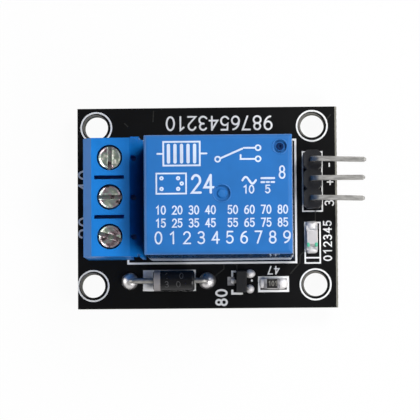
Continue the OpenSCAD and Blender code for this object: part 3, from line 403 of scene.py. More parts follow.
# %% Dress the solids
DRESS = {
    "circuit_board": MASK, "relay_case": RELAY_BLUE, "relay_base": BASE_BLACK,
    "relay_sealant": SEAL_BLUE, "relay_coil_pins": TIN, "relay_common_pin": TIN,
    "relay_make_strip": BRONZE, "relay_break_strip": BRONZE, "relay_make_contact": SILVER,
    "relay_break_contact": SILVER, "relay_yoke": IRON, "relay_core": IRON,
    "relay_bobbin": BOBBIN_WHITE, "relay_winding": COPPER, "relay_armature": IRON,
    "relay_contact_spring": BRONZE, "relay_moving_contact": SILVER,
    "terminal_housing": TERMINAL_BLUE, "clamp_frame_*": BRASS, "wire_guard_*": BRASS,
    "terminal_screw_*": ZINC, "header_body": HEADER_BLACK, "header_pin_*": TIN,
    "lamp_base": LAMINATE, "lamp_lens": CLEAR, "lamp_ends": LAMP_TIN,
    "diode_body": DIODE_BLACK, "diode_leads": TIN, "transistor_body": CHIP_BLACK,
    "transistor_leads": TIN, "resistor_body": CERAMIC, "resistor_glaze": GLAZE,
    "resistor_ends": SOLDER, "relay_solder": SOLDER, "terminal_solder": SOLDER,
    "header_solder": SOLDER, "diode_solder": SOLDER, "lamp_solder": SOLDER,
    "transistor_solder": SOLDER, "resistor_solder": SOLDER,
}
finish_of = {}
for key, finish in DRESS.items():
    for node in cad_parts:
        if node == key or (key.endswith("*") and node.startswith(key[:-1])):
            finish_of[node] = finish
            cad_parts[node].data.materials.clear()
            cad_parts[node].data.materials.append(finish)
print("dressed:", len(finish_of), "of", len(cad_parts))

# %% [markdown]
# ## Softer edges
# Real mouldings and stampings have no knife edges. A copy of the solid is cleaned of doubled
# points, its flat faces are made whole again, and a Bevel modifier rounds what is sharper
# than 30 degrees. Large faces then lead the normals, so that they stay flat beside their
# rounded edges. The copy stands for the solid.

# %% Rounded copies
def softened(node, width):
    """A copy of a solid whose sharp edges are rounded by width millimetres."""
    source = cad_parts[node]
    mesh = source.data.copy()
    work = bmesh.new()
    work.from_mesh(mesh)
    bmesh.ops.remove_doubles(work, verts=work.verts, dist=2e-6)
    bmesh.ops.dissolve_limit(work, angle_limit=math.radians(0.5), verts=work.verts, edges=work.edges)
    work.to_mesh(mesh)
    work.free()
    obj = bpy.data.objects.new(node + "_moulded", mesh)
    settle(obj, finish_of[node], replaces=[node])
    bevel = obj.modifiers.new("rounding", "BEVEL")
    bevel.width = width * MM
    bevel.segments = 2
    bevel.limit_method = "ANGLE"
    bevel.angle_limit = math.radians(30)
    flat = obj.modifiers.new("flat_faces", "WEIGHTED_NORMAL")
    flat.keep_sharp = True
    return obj


for node, width in (("terminal_housing", 0.1), ("relay_case", 0.08), ("header_body", 0.07),
                    ("diode_body", 0.1), ("transistor_body", 0.05)):
    print(softened(node, width).name)
for n in (1, 2, 3):
    print(softened(f"header_pin_{n}", 0.05).name)

# %% [markdown]
# ## Clamp screws
# A stamped and plated head is not flat. A lip stands round its rim, where light from one side
# draws a bright curve, and the slot's two edges are raised by the saw. The head is a grid in
# the slot's own directions, so that the slot's walls stay upright. Below it the thread can be
# seen through the wire entries once a screw is driven in, so it is a real helix.

# %% Screw head and thread
HEAD_HEIGHT, SLOT_DEPTH = 1.5, 0.7
# radius and height of the head's top outside the slot: flat, then the lip, then the rim
HEAD_PROFILE = ((0, 0.015), (1.12, 0.02), (1.2, 0.035), (1.36, 0.105), (1.42, 0.11), (1.525, -0.17))


def screw_head(top, seed, radius=1.525, wall=0.25, side_rows=34, slot_rows=6):
    """Points (u c, v, z) with u from -1 to 1, v from -R to R and c = sqrt(R^2 - v^2), so each
    row is a chord of the head. Outside the slot z is the lip's height at that radius plus a
    low ridge along the slot; inside it z is the slot's floor. The flat underside closes it."""
    out = wall + (radius - wall) * np.sin(np.linspace(0, math.pi / 2, side_rows))
    v = np.concatenate([-out[::-1], np.linspace(-wall, wall, slot_rows), out])[:, None]
    in_slot = np.zeros(v.shape, bool)
    in_slot[side_rows:side_rows + slot_rows] = True
    u = np.sin(np.linspace(-math.pi / 2, math.pi / 2, 64))[None, :]
    along = u * np.sqrt(np.maximum(radius**2 - v**2, 0))
    r = np.hypot(along, v)
    lip = np.interp(r, *zip(*HEAD_PROFILE))
    ridge = 0.04 * np.exp(-(((np.abs(v) - 0.33) / 0.08) ** 2)) * (r < 1.42)
    worn = 0.012 * np.sin(5.1 * along + seed) * np.sin(6.3 * v + 2 * seed) * (r < 1.15)
    z = np.where(in_slot, -SLOT_DEPTH, lip + ridge + worn)
    sheet = np.stack([along, v + 0 * u, top + z], -1)
    under = sheet[:, ::-1].copy()
    under[..., 2] = top - HEAD_HEIGHT
    return np.concatenate([sheet, under], 1)


def screw_thread(start, end, radius=1.25, deep=0.17, pitch=0.45, bevel=0.2):
    """Right-handed thread: at height z and angle t the radius is R - deep w, where w is the
    distance of z / pitch - t / (2 pi) from the nearest whole number, doubled. The point
    narrows over the bevel, and both ends close on the axis."""
    z = np.linspace(start, end, int(round((end - start) / pitch * 10)) + 1)[:, None]
    t = np.linspace(0, 2 * math.pi, 48, endpoint=False)[None, :]
    phase = z / pitch - t / (2 * math.pi)
    r = radius - deep * 2 * np.abs(phase - np.round(phase)) - np.maximum(bevel - (z - start), 0)
    grid = np.stack([r * np.cos(t), r * np.sin(t), z + 0 * t], -1)
    return np.concatenate([grid[:1] * [0, 0, 1], grid, grid[-1:] * [0, 0, 1]])


def turned(points, x, y, degrees):
    """Points turned about the vertical axis and moved to (x, y)."""
    c, s = math.cos(math.radians(degrees)), math.sin(math.radians(degrees))
    px, py = points[..., 0], points[..., 1]
    return np.stack([x + c * px - s * py, y + s * px + c * py, points[..., 2]], -1)


OVERLAP = 0.01
for n, degrees in ((1, 88), (2, 0), (3, -17)):
    node = f"terminal_screw_{n}"
    x, y = middle(node)[:2]
    tip, top = low(node)[2], high(node)[2]
    head = turned(screw_head(top, n), x, y, degrees)
    shank = turned(screw_thread(tip, top - HEAD_HEIGHT + OVERLAP), x, y, degrees)
    screw = build(f"clamp_screw_{n}", [(head, False, True), (shank, False, True)], ZINC,
                  f"screw_{n}", replaces=[node])
    print(screw.name, "points:", len(screw.data.vertices))

# %% [markdown]
# ## Strokes of ink
# Silk-screen lines, plotted figures and thin copper tracks are all the same shape: a flat
# ribbon along a line. The ribbon's half width stays even, and at a free end it shrinks as a
# half circle does, which gives the round end that a plotter pen leaves.

# %% Ribbon along a line
def with_round_ends(line, half, steps=5):
    """Adds points past both ends, where the half width falls as sqrt(half^2 - d^2)."""
    out = (line[0] - line[1]) / np.linalg.norm(line[0] - line[1])
    on = (line[-1] - line[-2]) / np.linalg.norm(line[-1] - line[-2])
    reach = half * np.sin(np.linspace(math.pi / 2, 0, steps + 1))[:-1]
    shrink = np.sqrt(np.maximum(half**2 - reach**2, (0.02 * half) ** 2))
    points = np.vstack([line[0] + out * reach[:, None], line, line[-1] + on * reach[::-1, None]])
    return points, np.concatenate([shrink, np.full(len(line), half), shrink[::-1]])


def ribbon(line, width, z, thick=0.02, closed=False, round_ends=True, up=1):
    """Grid of (points, 4): left foot, left edge, right edge and right foot at each point.
    The edges stand half a width away along the mitre, the mean of the two normals over the
    cosine of half the turn. Free ends are shut by a last row drawn together to its middle."""
    line = np.asarray(line, float)
    half = np.full(len(line), width / 2)
    if not closed and round_ends:
        line, half = with_round_ends(line, width / 2)
    ahead = np.roll(line, -1, 0) - line
    if not closed:
        ahead[-1] = ahead[-2]
    ahead /= np.linalg.norm(ahead, axis=1)[:, None]
    behind = np.roll(ahead, 1, 0)
    if not closed:
        behind[0] = ahead[0]
    normal = np.stack([-(ahead + behind)[:, 1], (ahead + behind)[:, 0]], 1)
    size = np.linalg.norm(normal, axis=1)[:, None]
    mitre = normal / size * np.minimum(2 / size, 2.0) * half[:, None]
    rows = np.zeros((len(line), 4, 3))
    for column, (side, height) in enumerate(((1, -0.01), (1, thick), (-1, thick), (-1, -0.01))):
        rows[:, column, :2] = line + side * mitre
        rows[:, column, 2] = z + up * height
    if not closed:
        first, last = rows[:1].copy(), rows[-1:].copy()
        first[..., :2] = first[..., :2].mean(1, keepdims=True)
        last[..., :2] = last[..., :2].mean(1, keepdims=True)
        rows = np.concatenate([first, rows, last])
    return rows, closed, True


def box_line(x0, y0, x1, y1):
    """The four corners of a rectangle."""
    return np.array([[x0, y0], [x1, y0], [x1, y1], [x0, y1]])


def oval(cx, cy, rx, ry, steps=48):
    """Points of an ellipse: (cx + rx cos a, cy + ry sin a)."""
    a = np.linspace(0, 2 * math.pi, steps, endpoint=False)
    return np.stack([cx + rx * np.cos(a), cy + ry * np.sin(a)], 1)


def arc(cx, cy, rx, ry, start, end, steps=14):
    """Part of an ellipse between two angles in degrees."""
    a = np.radians(np.linspace(start, end, steps))
    return np.stack([cx + rx * np.cos(a), cy + ry * np.sin(a)], 1)


# %% [markdown]
# ## Plain figures
# The board and the relay carry only plain figures and signs. Each figure is one or two pen
# strokes in a box 0.6 wide and 1 high, made from straight runs and parts of ellipses.

# %% Figures as pen strokes
FIGURES = {
    "0": [(oval(0.3, 0.5, 0.28, 0.5, 28), True)],
    "1": [(np.array([[0.12, 0.8], [0.36, 1.0], [0.36, 0.0]]), False)],
    "2": [(np.vstack([arc(0.3, 0.71, 0.27, 0.29, 165, -35), [[0.03, 0.0], [0.6, 0.0]]]), False)],
    "3": [(arc(0.28, 0.75, 0.25, 0.25, 150, -90), False),
          (arc(0.28, 0.26, 0.29, 0.27, 100, -150), False)],
    "4": [(np.array([[0.62, 0.3], [0.02, 0.3], [0.44, 1.0]]), False),
          (np.array([[0.44, 1.0], [0.44, 0.0]]), False)],
    "5": [(np.vstack([[[0.54, 1.0], [0.1, 1.0], [0.06, 0.54]],
                      arc(0.28, 0.33, 0.29, 0.32, 125, -150)]), False)],
    "6": [(oval(0.3, 0.3, 0.27, 0.3, 24), True), (arc(0.52, 0.34, 0.49, 0.64, 180, 95, 9), False)],
    "7": [(np.array([[0.03, 1.0], [0.58, 1.0], [0.22, 0.0]]), False)],
    "8": [(oval(0.3, 0.75, 0.23, 0.25, 24), True), (oval(0.3, 0.26, 0.27, 0.27, 24), True)],
    "9": [(oval(0.3, 0.7, 0.27, 0.3, 24), True), (arc(0.08, 0.66, 0.49, 0.64, 0, -85, 9), False)],
    "+": [(np.array([[0.0, 0.5], [0.6, 0.5]]), False), (np.array([[0.3, 0.2], [0.3, 0.8]]), False)],
    "-": [(np.array([[0.05, 0.5], [0.55, 0.5]]), False)],
}


def figures(text, x, y, size, width, z, turn=0.0, pitch=0.85, squeeze=1.0):
    """Ribbons for a row of figures whose lower left corner is (x, y), turned about it."""
    c, s = math.cos(math.radians(turn)), math.sin(math.radians(turn))
    grids = []
    for place, figure in enumerate(text):
        for layer, (line, closed) in enumerate(FIGURES.get(figure, [])):
            flat = (line * [squeeze, 1] + [place * pitch, 0]) * size
            spun = np.stack([x + c * flat[:, 0] - s * flat[:, 1],
                             y + s * flat[:, 0] + c * flat[:, 1]], 1)
            grids.append(ribbon(spun, width, z + LAYER * layer, closed=closed))
    return grids


# %% [markdown]
# ## White print on the board
# Rings round the four holes, outlines of the parts, and plain figures where the parts' names
# would be. The print is a fiftieth of a millimetre thick and lies on the deck.

# %% Rings and outlines
HOLES = [(-16.5, 10.7), (12.0, 10.7), (-16.95, -10.22), (12.3, -10.22)]
rings = [ribbon(oval(x, y, 2.0, 2.0, 72), 0.22, DECK, closed=True) for x, y in HOLES]
for grid, _, _ in rings:
    grid[..., 0] = np.clip(grid[..., 0], WEST + 0.01, EAST - 0.01)
build("hole_rings", rings, SILK)

outlines = [
    ribbon(box_line(-12.34, -7.30, 9.79, 8.90), 0.27, DECK, closed=True),
    ribbon(box_line(10.71, -0.58, 13.27, 7.26), 0.18, DECK, closed=True),
    ribbon(box_line(10.97, -7.41, 12.94, -2.09), 0.2, DECK, closed=True),
    ribbon([[11.07, -6.72], [12.84, -6.72]], 0.2, DECK + LAYER, round_ends=False),
    ribbon(box_line(-10.26, -10.82, -3.58, -8.32), 0.28, DECK, closed=True),
    ribbon([[-4.1, -8.55], [-3.6, -8.55]], 0.3, DECK + LAYER, round_ends=False),
    ribbon(box_line(4.89, -11.05, 8.66, -9.27), 0.3, DECK, closed=True),
    ribbon([[1.35, -9.05], [1.35, -8.45], [1.75, -8.45]], 0.26, DECK),
    ribbon([[1.35, -10.95], [1.35, -11.35], [2.6, -11.35]], 0.3, DECK),
]
outlines += [ribbon([[x, -10.7], [x, -8.45]], 0.3, DECK + LAYER, round_ends=False)
             for x in (-10.0, -9.75, -9.5, -9.25)]
outlines.append(ribbon([[3.93, -9.62], [3.93, -9.7]], 0.24, DECK))
build("outline_print", outlines, SILK)
print("rings and outlines:", len(rings) + len(outlines))

# %% [markdown]
# ## Bare laminate
# The mask stops a little short of each drilled hole, and the bare ring is set wider towards the upper
# left.
# The east edge was snapped from a larger panel, so it stands proud and is rough.

# %% Bare laminate round the holes and along the east edge
def bare_ring(x, y, hole=1.553, wide=1.66, shift=0.17, toward=150):
    """Ring from the hole's edge to a circle that the mask left open. That circle is moved
    towards the angle given, so its radius is wide + shift cos(t - toward), never below hole."""
    t = np.linspace(0, 2 * math.pi, 96, endpoint=False)
    outer = np.maximum(wide + shift * np.cos(t - math.radians(toward)), hole + 0.015)
    rows = np.zeros((4, len(t), 3))
    profile = ((hole, 0.001), (hole, 0.010), (outer, 0.012), (outer, -0.01))
    for row, (radius, z) in enumerate(profile):
        rows[row] = np.stack([x + radius * np.cos(t), y + radius * np.sin(t), DECK + z + 0 * t], 1)
    return rows, True, True


def broken_edge(proud=0.25, slope=0.42, inside=0.02, margin=0.005):
    """Ridge along the east edge, with four points at each y. It reaches out by proud plus the
    sum of three sines of y, at the height slope below the deck and above the underside."""
    y = np.linspace(SOUTH, NORTH, 160)
    rough = 0.012 * np.sin(7.3 * y) + 0.008 * np.sin(19.0 * y + 1) + 0.006 * np.sin(41.0 * y)
    profile = ((-inside, DECK - margin, 0.0), (proud, DECK - slope, 1.0),
               (proud, UNDER + slope, 1.0), (-inside, UNDER + margin, 0.0))
    edge = np.zeros((len(y) + 2, 4, 3))
    for column, (reach, z, share) in enumerate(profile):
        edge[1:-1, column] = np.stack([EAST + reach + share * rough, y, z + 0 * y], 1)
    edge[0], edge[-1] = edge[1].mean(0), edge[-2].mean(0)
    return edge, False, True


build("mask_openings", [bare_ring(x, y) for x, y in HOLES], DRILLED)
build("snapped_edge", [broken_edge()], BARE)
print("mask openings:", len(HOLES))

# %% [markdown]
# ## Figures on the board
# Each row is placed by its lower left corner, then by the height of its figures and by the
# width of the pen. Rows that read from the board's other sides are turned.

# %% Figures on the board
marks = figures("9876543210", 6.75, 12.05, 1.75, 0.24, DECK, turn=180, pitch=0.82)
marks += figures("40", -17.15, 2.28, 1.7, 0.25, DECK, turn=90, pitch=0.95, squeeze=1.08)
marks += figures("20", -17.15, -3.88, 1.7, 0.25, DECK, turn=90, pitch=0.93, squeeze=1.08)
marks += figures("012345", 14.42, -7.1, 1.0, 0.17, DECK, turn=90, pitch=0.92)
marks += figures("47", 7.52, -7.84, 0.97, 0.17, DECK, turn=180, pitch=0.9)
marks += figures("80", 0.6, -12.9, 1.38, 0.27, DECK, turn=90, pitch=0.88)
marks += figures("-", 14.6, 5.3, 0.72, 0.2, DECK, turn=90)
marks += figures("+", 13.98, 2.68, 1.15, 0.2, DECK)
marks += figures("3", 14.75, 0.15, 1.1, 0.17, DECK, turn=90)
build("figure_print", marks, SILK)
print("figures on the board:", len(marks), "strokes")

# %% [markdown]
# ## White print on the relay
# The roof of a relay shows its circuit. Here it is drawn in plain signs: a coil as a row of
# bars, a changeover contact, a map of the five pins, signs for alternating and direct
# current, and three rows of plain figures.

# %% Roof print
def roof(line, width=0.2, closed=False, layer=0):
    """One pen stroke on the relay's roof."""
    return ribbon(line, width, ROOF + LAYER * layer, 0.012, closed)


sign = [roof([[x, 4.75], [x, 6.85]], 0.42) for x in np.linspace(-6.2, -2.9, 5)]
sign += [roof(box_line(-6.85, 4.3, -2.25, 7.3), 0.22, True),
         roof([[-7.6, 5.8], [-6.85, 5.8]], 0.22, layer=1),
         roof([[-2.25, 5.8], [-1.4, 5.8]], 0.22, layer=1)]
sign += [roof(oval(x, y, 0.32, 0.32, 24), 0.2, True) for x, y in ((0.0, 5.05), (5.1, 6.45), (5.1, 5.05))]
sign += [roof([[0.4, 5.18], [3.1, 6.35]], 0.24, layer=1),
         roof([[4.7, 6.45], [3.3, 6.45]], 0.22, layer=1),
         roof([[4.7, 5.05], [2.9, 5.05], [2.9, 5.55]], 0.22, layer=1)]
sign += [roof(box_line(-7.75, 0.75, -4.0, 3.3), 0.2, True)]
sign += [roof(oval(x, y, 0.17, 0.17, 16), 0.2, True)
         for x, y in ((-7.1, 1.35), (-7.1, 2.7), (-5.0, 1.35), (-5.0, 2.7), (-4.55, 2.02))]
wave = np.linspace(0, 2 * math.pi, 21)
sign += [roof(np.stack([3.1 + 1.7 * wave / (2 * math.pi), 2.35 + 0.42 * np.sin(wave)], 1), 0.26),
         roof([[5.5, 2.6], [7.1, 2.6]], 0.26), roof([[5.5, 2.1], [5.85, 2.1]], 0.24),
         roof([[6.15, 2.1], [6.45, 2.1]], 0.24), roof([[6.75, 2.1], [7.1, 2.1]], 0.24)]
build("roof_signs", sign, ROOF_INK)

rows = figures("24", -3.3, 0.85, 2.2, 0.3, ROOF, pitch=0.72, squeeze=0.85)
rows += figures("8", 7.75, 2.6, 1.5, 0.2, ROOF, squeeze=0.8)
rows += figures("10", 3.2, 0.75, 0.95, 0.17, ROOF, pitch=0.8) + figures("5", 6.0, 0.75, 0.95, 0.17, ROOF)
for text, y in (("10 20 30 40  50 60 70 80", -1.83), ("15 25 35 45  55 65 75 85", -3.47)):
    rows += figures(text, -7.85, y, 1.0, 0.17, ROOF, pitch=0.7, squeeze=0.86)
rows += figures("0 1 2 3 4 5 6 7 8 9", -7.95, -5.55, 1.45, 0.2, ROOF, pitch=0.62, squeeze=0.98)
THINNER = 0.6  # roof ink beside the ink on the board
for grid, _, _ in rows:
    grid[..., 2] = ROOF + (grid[..., 2] - ROOF) * THINNER
build("roof_figures", rows, ROOF_INK)
print("roof print:", len(sign) + len(rows), "strokes")

# %% [markdown]
# ## Moulding marks
# The case has a vent mark in one corner and a gate mark where the plastic was let in. Each
# has a thin lip round it, and a dark disc paints the shade on the vent's floor.

# %% Lips of the two moulding marks
def raised_lip(x, y, radius, width, height):
    """Half a flat torus: r = radius + width cos t, z = roof + height sin t, t from 0 to pi."""
    a = np.linspace(0, 2 * math.pi, 56, endpoint=False)[:, None]
    t = np.linspace(0, math.pi, 9)[None, :]
    r = radius + width * np.cos(t)
    z = ROOF - 0.005 + height * np.sin(t) + 0 * a
    return np.stack([x + r * np.cos(a), y + r * np.sin(a), z], -1), True, True


vent_x, vent_y = RELAY + (7.85, 5.95)
gate_x, gate_y = RELAY + (0.5, 0.1)
lips = [raised_lip(vent_x, vent_y, 0.93, 0.09, 0.07), raised_lip(gate_x, gate_y, 1.13, 0.09, 0.06)]
build("mark_lips", lips, RELAY_BLUE)
# painted shade: a dark blue disc where the vent's floor lies in shade
dish = ribbon(oval(vent_x, vent_y, 0.36, 0.36, 40), 0.26, ROOF - 0.13, 0.005, True)
build("vent_painted_shade", [dish], PAINTED_SHADE_BLUE)
print("lips:", len(lips))

# %% [markdown]
# ## Tracks under the mask
# Copper tracks show through the lacquer as faint raised lines. Underneath, wide tracks join
# the relay to the terminals, as its current needs. Each pin has its place, given as the centre
# of its hole and the radius of its pad.

# %% Tracks and pads
relay_x, relay_y = RELAY
RELAY_PLACES = [(relay_x + x, relay_y + y, pad) for x, y, pad in
                ((-7.1, -6.0, 1.25), (-7.1, 6.0, 1.25), (5.1, -6.0, 1.1), (5.1, 6.0, 1.1), (7.1, 0, 1.25))]
TERMINAL_PLACES = [(-14.05, y, 1.35) for y in (5.88, 0.8, -4.28)]
HEADER_PLACES = [(12.02, y, 1.15) for y in (6.04, 3.5, 0.96)]
DIODE_PLACES = [(-12.1, -9.65, 1.1), (-1.94, -9.65, 1.1)]
PLACES = RELAY_PLACES + TERMINAL_PLACES + HEADER_PLACES + DIODE_PLACES

WIDE, THIN, PAD = 2.2, 0.6, 0.56
tracks = [[[12.35, -2.0], [12.35, -0.5]], [[8.97, -8.83], [10.25, -7.37], [10.31, -6.39], [10.92, -5.78]],
          [[1.96, -7.45], [1.96, -8.5]], [[0.26, -7.45], [0.26, -8.1], [-0.9, -9.0]],
          [[-12.8, 11.3], [-12.3, 10.8]], [[14.0, 11.6], [14.5, 12.2]], [[-9.0, 11.4], [-8.9, 12.9]]]
build("deck_tracks", [ribbon(t, 0.16, DECK, 0.02, round_ends=False) for t in tracks], TRACE_MASK)
wide = [[[-14.05, 5.88], [-12.0, 6.65], [-7.1, 6.65]], [[-14.05, -4.28], [-11.6, -5.35], [-7.1, -5.35]],
        [[-14.05, 0.8], [-9.0, 0.8], [7.1, 0.65]]]
thin = [[[5.1, 6.65], [9.0, 6.65], [12.02, 3.5]], [[5.1, -5.35], [1.6, -7.4], [1.2, -9.7]],
        [[-1.94, -9.65], [1.2, -9.7]], [[-12.1, -9.65], [-12.1, -12.3], [9.5, -12.3], [12.02, 0.96]],
        [[12.02, 6.04], [13.9, 4.2], [13.9, -6.0], [9.2, -10.2]]]
under = [ribbon(t, WIDE, UNDER, 0.03, up=-1) for t in wide]
under += [ribbon(t, THIN, UNDER, 0.036 + 0.002 * n, up=-1) for n, t in enumerate(thin)]
build("under_tracks", under, TRACE_MASK)
pads = [ribbon(oval(x, y, r - PAD / 2, r - PAD / 2, 32), PAD, UNDER, 0.055, closed=True, up=-1)
        for x, y, r in PLACES]
build("under_pads", pads, PAD_TIN)
print("tracks:", len(tracks) + len(under), "pads:", len(pads))

# %% [markdown]
# ## Solder
# Molten solder pulls itself into round drops and hollow cones. A drop is a polar grid: the
# distance from the axis grows as sin a while the height falls as cos a. A small wobble with
# the angle keeps the drops from looking turned on a lathe.

# %% Drops and cones
def drop(x, y, rx, ry, height, base=DECK, reach=90, square=2.0, wobble=0.03, seed=0):
    """Points (x + rx k sin a cos t, y + ry k sin a sin t, base + height (cos a - cos reach)),
    a from 0 to reach degrees, k = 1 + wobble (sin(2t + seed) + sin(3t + 2 seed)) / 2.
    With square above 2 the plan is a box with round corners."""
    a = np.radians(np.linspace(0, reach, 14))[:, None]
    t = np.linspace(0, 2 * math.pi, 40, endpoint=False)[None, :]
    plan = (np.abs(np.cos(t)) ** square + np.abs(np.sin(t)) ** square) ** (-1 / square)
    k = plan * (1 + wobble * (np.sin(2 * t + seed) + np.sin(3 * t + 2 * seed)) / 2)
    fall = (np.cos(a) - math.cos(math.radians(reach))) / (1 - math.cos(math.radians(reach)))
    z = base + height * fall * (1 + 0 * t)
    grid = np.stack([x + rx * k * np.sin(a) * np.cos(t), y + ry * k * np.sin(a) * np.sin(t), z], -1)
    foot = np.broadcast_to(np.array([x, y, base - 0.01]), grid[:1].shape)
    return np.concatenate([grid, foot]), False, True


def cone(x, y, pad, pin, height, steps=9, lift=0.02):
    """Hollow cone below the board: the radius falls from the pad to the pin as (1 - u)^2.2."""
    u = np.linspace(0, 1, steps)[:, None]
    t = np.linspace(0, 2 * math.pi, 36, endpoint=False)[None, :]
    r = pin + (pad - pin) * (1 - u) ** 2.2
    z = UNDER - lift - height * u + 0 * t
    grid = np.stack([x + r * np.cos(t), y + r * np.sin(t), z], -1)
    top = np.broadcast_to(np.array([x, y, UNDER]), grid[:1].shape)
    tip = np.broadcast_to(np.array([x, y, UNDER - lift - height]), grid[:1].shape)
    return np.concatenate([top, grid, tip]), False, True


def joints(part, grids, finish):
    """Builds the solder of one part, in place of the CAD's."""
    obj = build(part + "_joints", grids, finish, replaces=[part + "_solder"])
    print(obj.name, "drops and cones:", len(grids))


for part, spots_below, pin, height in (("relay", RELAY_PLACES, 0.55, 1.15),
                                       ("terminal", TERMINAL_PLACES, 0.68, 1.15),
                                       ("header", HEADER_PLACES, 0.5, 1.1)):
    joints(part, [cone(x, y, pad, pin, height) for x, y, pad in spots_below], SOLDER)
diode_drops = [cone(x, y, pad, 0.42, 1.15) for x, y, pad in DIODE_PLACES]
diode_drops += [drop(x, y, 1.13, 1.13, 1.42, DECK - 0.02, 104, seed=n)
                for n, (x, y, _) in enumerate(DIODE_PLACES)]
joints("diode", diode_drops, SOLDER)
plate = ribbon([[0.72, -9.72], [1.62, -9.72]], 1.13, DECK, 0.05, round_ends=False)
build("transistor_pads", [plate], PAD_TIN)
joints("transistor", [drop(3.70, -8.76, 0.66, 0.58, 0.62, seed=1.0),
                      drop(3.64, -10.76, 0.6, 0.58, 0.62, seed=2.3),
                      drop(1.45, -9.72, 0.3, 0.36, 0.2, DECK + 0.04, seed=0.4)], PALE_SOLDER)
joints("resistor", [drop(7.86, -10.1, 0.76, 0.72, 0.6, square=2.6, seed=0.5),
                    drop(5.5, -10.0, 0.53, 0.7, 0.5, square=4.0, seed=1.5),
                    drop(6.7, -10.62, 0.95, 0.16, 0.12, square=3.0, seed=2.5)], PALE_SOLDER)
joints("lamp", [drop(11.83, -2.5, 0.77, 0.62, 0.72, square=4.0, seed=0.2),
                drop(11.86, -5.62, 0.72, 0.55, 0.62, square=3.6, seed=1.2)], PALE_SOLDER)

# %% [markdown]
# ## Marks on the small parts
# A diode's ring shows its cathode. The ring is a thin sleeve, and the figures beside it are
# flat strokes wrapped round the same cylinder: a height v on the flat sheet becomes the angle
# v / R. The resistor has a plain code, and the lamp two green marks.

# %% Diode ring and figures, resistor code, lamp marks
def wrapped(grid, axis_y, axis_z, radius):
    """Flat points (x, v, h) laid on a cylinder: y = axis_y + (R + h) sin(v / R) and
    z = axis_z + (R + h) cos(v / R)."""
    pts, ring_rows, ring_cols = grid
    x, v, h = np.moveaxis(pts, -1, 0)
    rolled = np.stack([x, axis_y + (radius + h) * np.sin(v / radius),
                       axis_z + (radius + h) * np.cos(v / radius)], -1)
    return rolled, ring_rows, ring_cols


axis_y, axis_z = middle("diode_body")[1], middle("diode_body")[2]
radius = (high("diode_body")[2] - low("diode_body")[2]) / 2
west = low("diode_body")[0]
v = np.linspace(-math.pi, math.pi, 72, endpoint=False)[None, :] * radius
sleeve = ((0.1, -0.02), (0.1, 0.012), (0.96, 0.012), (0.96, -0.02))
band = np.stack([np.stack([west + x + 0 * v[0], v[0], h + 0 * v[0]], -1) for x, h in sleeve])
build("diode_ring", [wrapped((band, True, True), axis_y, axis_z, radius)], BAND_INK)
strokes = figures("1 0", -7.4, 0.22, 0.8, 0.1, 0.0, pitch=1.2)
strokes += figures("30", -7.4, -0.95, 0.8, 0.1, 0.0, pitch=1.9)
build("diode_figures", [wrapped(grid, axis_y, axis_z, radius) for grid in strokes], FAINT_INK)
glaze = high("resistor_glaze")[2]
code = figures("101", 6.13, -10.4, 0.62, 0.09, glaze, pitch=0.68, squeeze=0.75)
build("resistor_figures", code, CODE_INK)
lens_south, lens_top = low("lamp_lens")[1], high("lamp_lens")[2]
green = [drop(x, lens_south + 0.12, 0.2, 0.3, 0.12, lens_top - 0.06, square=3.5, seed=x)
         for x in (11.4, 12.42)]
build("lamp_marks", green, GREEN_INK)
print("diode strokes:", len(strokes), "resistor strokes:", len(code), "lamp marks:", len(green))

# %% [markdown]
# ## Floor, lights and camera
# The board stands on its cut pins, on a pale floor that keeps only its shadow. Where a ray
# comes from the camera or from a mirror, the floor and the sky show nearly white.

# %% Floor
def seen_rays(tree):
    """1 for a ray from the camera, a mirror or clear resin, and 0 for one that only lights."""
    path = tree.nodes.new("ShaderNodeLightPath")
    total = None
    for name in ("Is Camera Ray", "Is Glossy Ray", "Is Transmission Ray"):
        if total is None:
            total = path.outputs[name]
            continue
        node = tree.nodes.new("ShaderNodeMath")
        node.operation, node.use_clamp = "ADD", True
        tree.links.new(total, node.inputs[0])
        tree.links.new(path.outputs[name], node.inputs[1])
        total = node.outputs[0]
    return total


def floor_finish():
    """Pale floor: mostly its own white where it is seen, so that the shadow on it stays soft."""
    material, tree, shader = new_finish("pale_floor", (0.82, 0.82, 0.82), 0.9, specular=0.1)
    glow = tree.nodes.new("ShaderNodeEmission")
    share = spread(tree, seen_rays(tree), 0.0, 0.95, 0.0, 1.0)
    both = tree.nodes.new("ShaderNodeMixShader")
    tree.links.new(share, both.inputs[0])
    tree.links.new(shader.outputs[0], both.inputs[1])
    tree.links.new(glow.outputs[0], both.inputs[2])
    out = next(n for n in tree.nodes if n.type == "OUTPUT_MATERIAL")
    tree.links.new(both.outputs[0], out.inputs["Surface"])
    return material


floor_z = cad_bounds[0][2] / MM
FLOOR_HALF = 260.0
along = np.linspace(-FLOOR_HALF, FLOOR_HALF, 5)
gx, gy = np.meshgrid(along, along, indexing="ij")
floor = build("studio_floor", [(np.stack([gx, gy, np.full_like(gx, floor_z)], -1), False, False)],
              floor_finish(), body=None)
print("floor at", round(floor_z, 3))

# %% [markdown]
# The key lamp stands to the north-east, so the screw wells are dark on that side and bright on
# the other. A second soft lamp fills from the south-east, and a faint low one from the west.

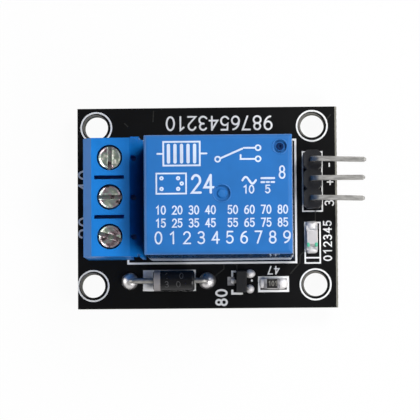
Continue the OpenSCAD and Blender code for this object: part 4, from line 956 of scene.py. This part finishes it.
# %% Lights
def lamp(name, azimuth, elevation, size, watts, distance=330):
    """Soft square lamp; azimuth is from the east edge towards the north, in degrees."""
    data = bpy.data.lights.new(name, "AREA")
    data.shape, data.size, data.energy = "SQUARE", size * MM, watts
    light = bpy.data.objects.new(name, data)
    bpy.context.scene.collection.objects.link(light)
    a, e = math.radians(azimuth), math.radians(elevation)
    toward = Vector((math.cos(a) * math.cos(e), math.sin(a) * math.cos(e), math.sin(e)))
    light.location = toward * distance * MM
    light.rotation_euler = toward.to_track_quat("Z", "Y").to_euler()
    print(name, "at", [round(c) for c in light.location / MM])


lamp("key_lamp", 48, 50, 130, 0.76)
lamp("side_lamp", -40, 45, 160, 0.68)
lamp("rim_lamp", 180, 22, 160, 0.3)

world = bpy.data.worlds.new("studio")
world.use_nodes = True
bpy.context.scene.world = world
tree = world.node_tree
back = tree.nodes["Background"]
where = tree.nodes.new("ShaderNodeTexCoord")
axes = tree.nodes.new("ShaderNodeSeparateXYZ")
tree.links.new(where.outputs["Generated"], axes.inputs[0])
sky = ramp(tree, axes.outputs["Z"], [(0.0, (1, 1, 1)), (0.3, (1, 1, 1)), (0.75, (0.2, 0.2, 0.21))])
around = mixed(tree, seen_rays(tree), (0.10, 0.102, 0.105), sky)
tree.links.new(around, back.inputs["Color"])

# %% [markdown]
# The camera looks almost straight down from a third of a metre, through a long lens, and is
# rolled by less than half a degree.

# %% Camera
spot, target, roll = Vector((9.95, -23.64, 343.5)), Vector((-1.521, -0.31, 3.5)), math.radians(-0.388)
camera_data = bpy.data.cameras.new("camera")
camera_data.lens, camera_data.sensor_width = 221.7, 36
camera_data.clip_start, camera_data.clip_end = 0.01, 5
camera = bpy.data.objects.new("camera", camera_data)
bpy.context.scene.collection.objects.link(camera)
gaze = (target - spot).normalized()
right = Vector((0, 1, 0)).cross(-gaze).normalized()
upward = (-gaze).cross(right).normalized()
spin = Matrix((right, upward, -gaze)).transposed() @ Matrix.Rotation(roll, 3, "Z")
camera.matrix_world = Matrix.Translation(spot * MM) @ spin.to_4x4()
bpy.context.scene.camera = camera
print("camera at", [round(c, 1) for c in spot])

# %% [markdown]
# ## Finish
# The picture keeps the plain Standard view.

# %% Finish
bpy.context.scene.view_settings.view_transform = "Standard"
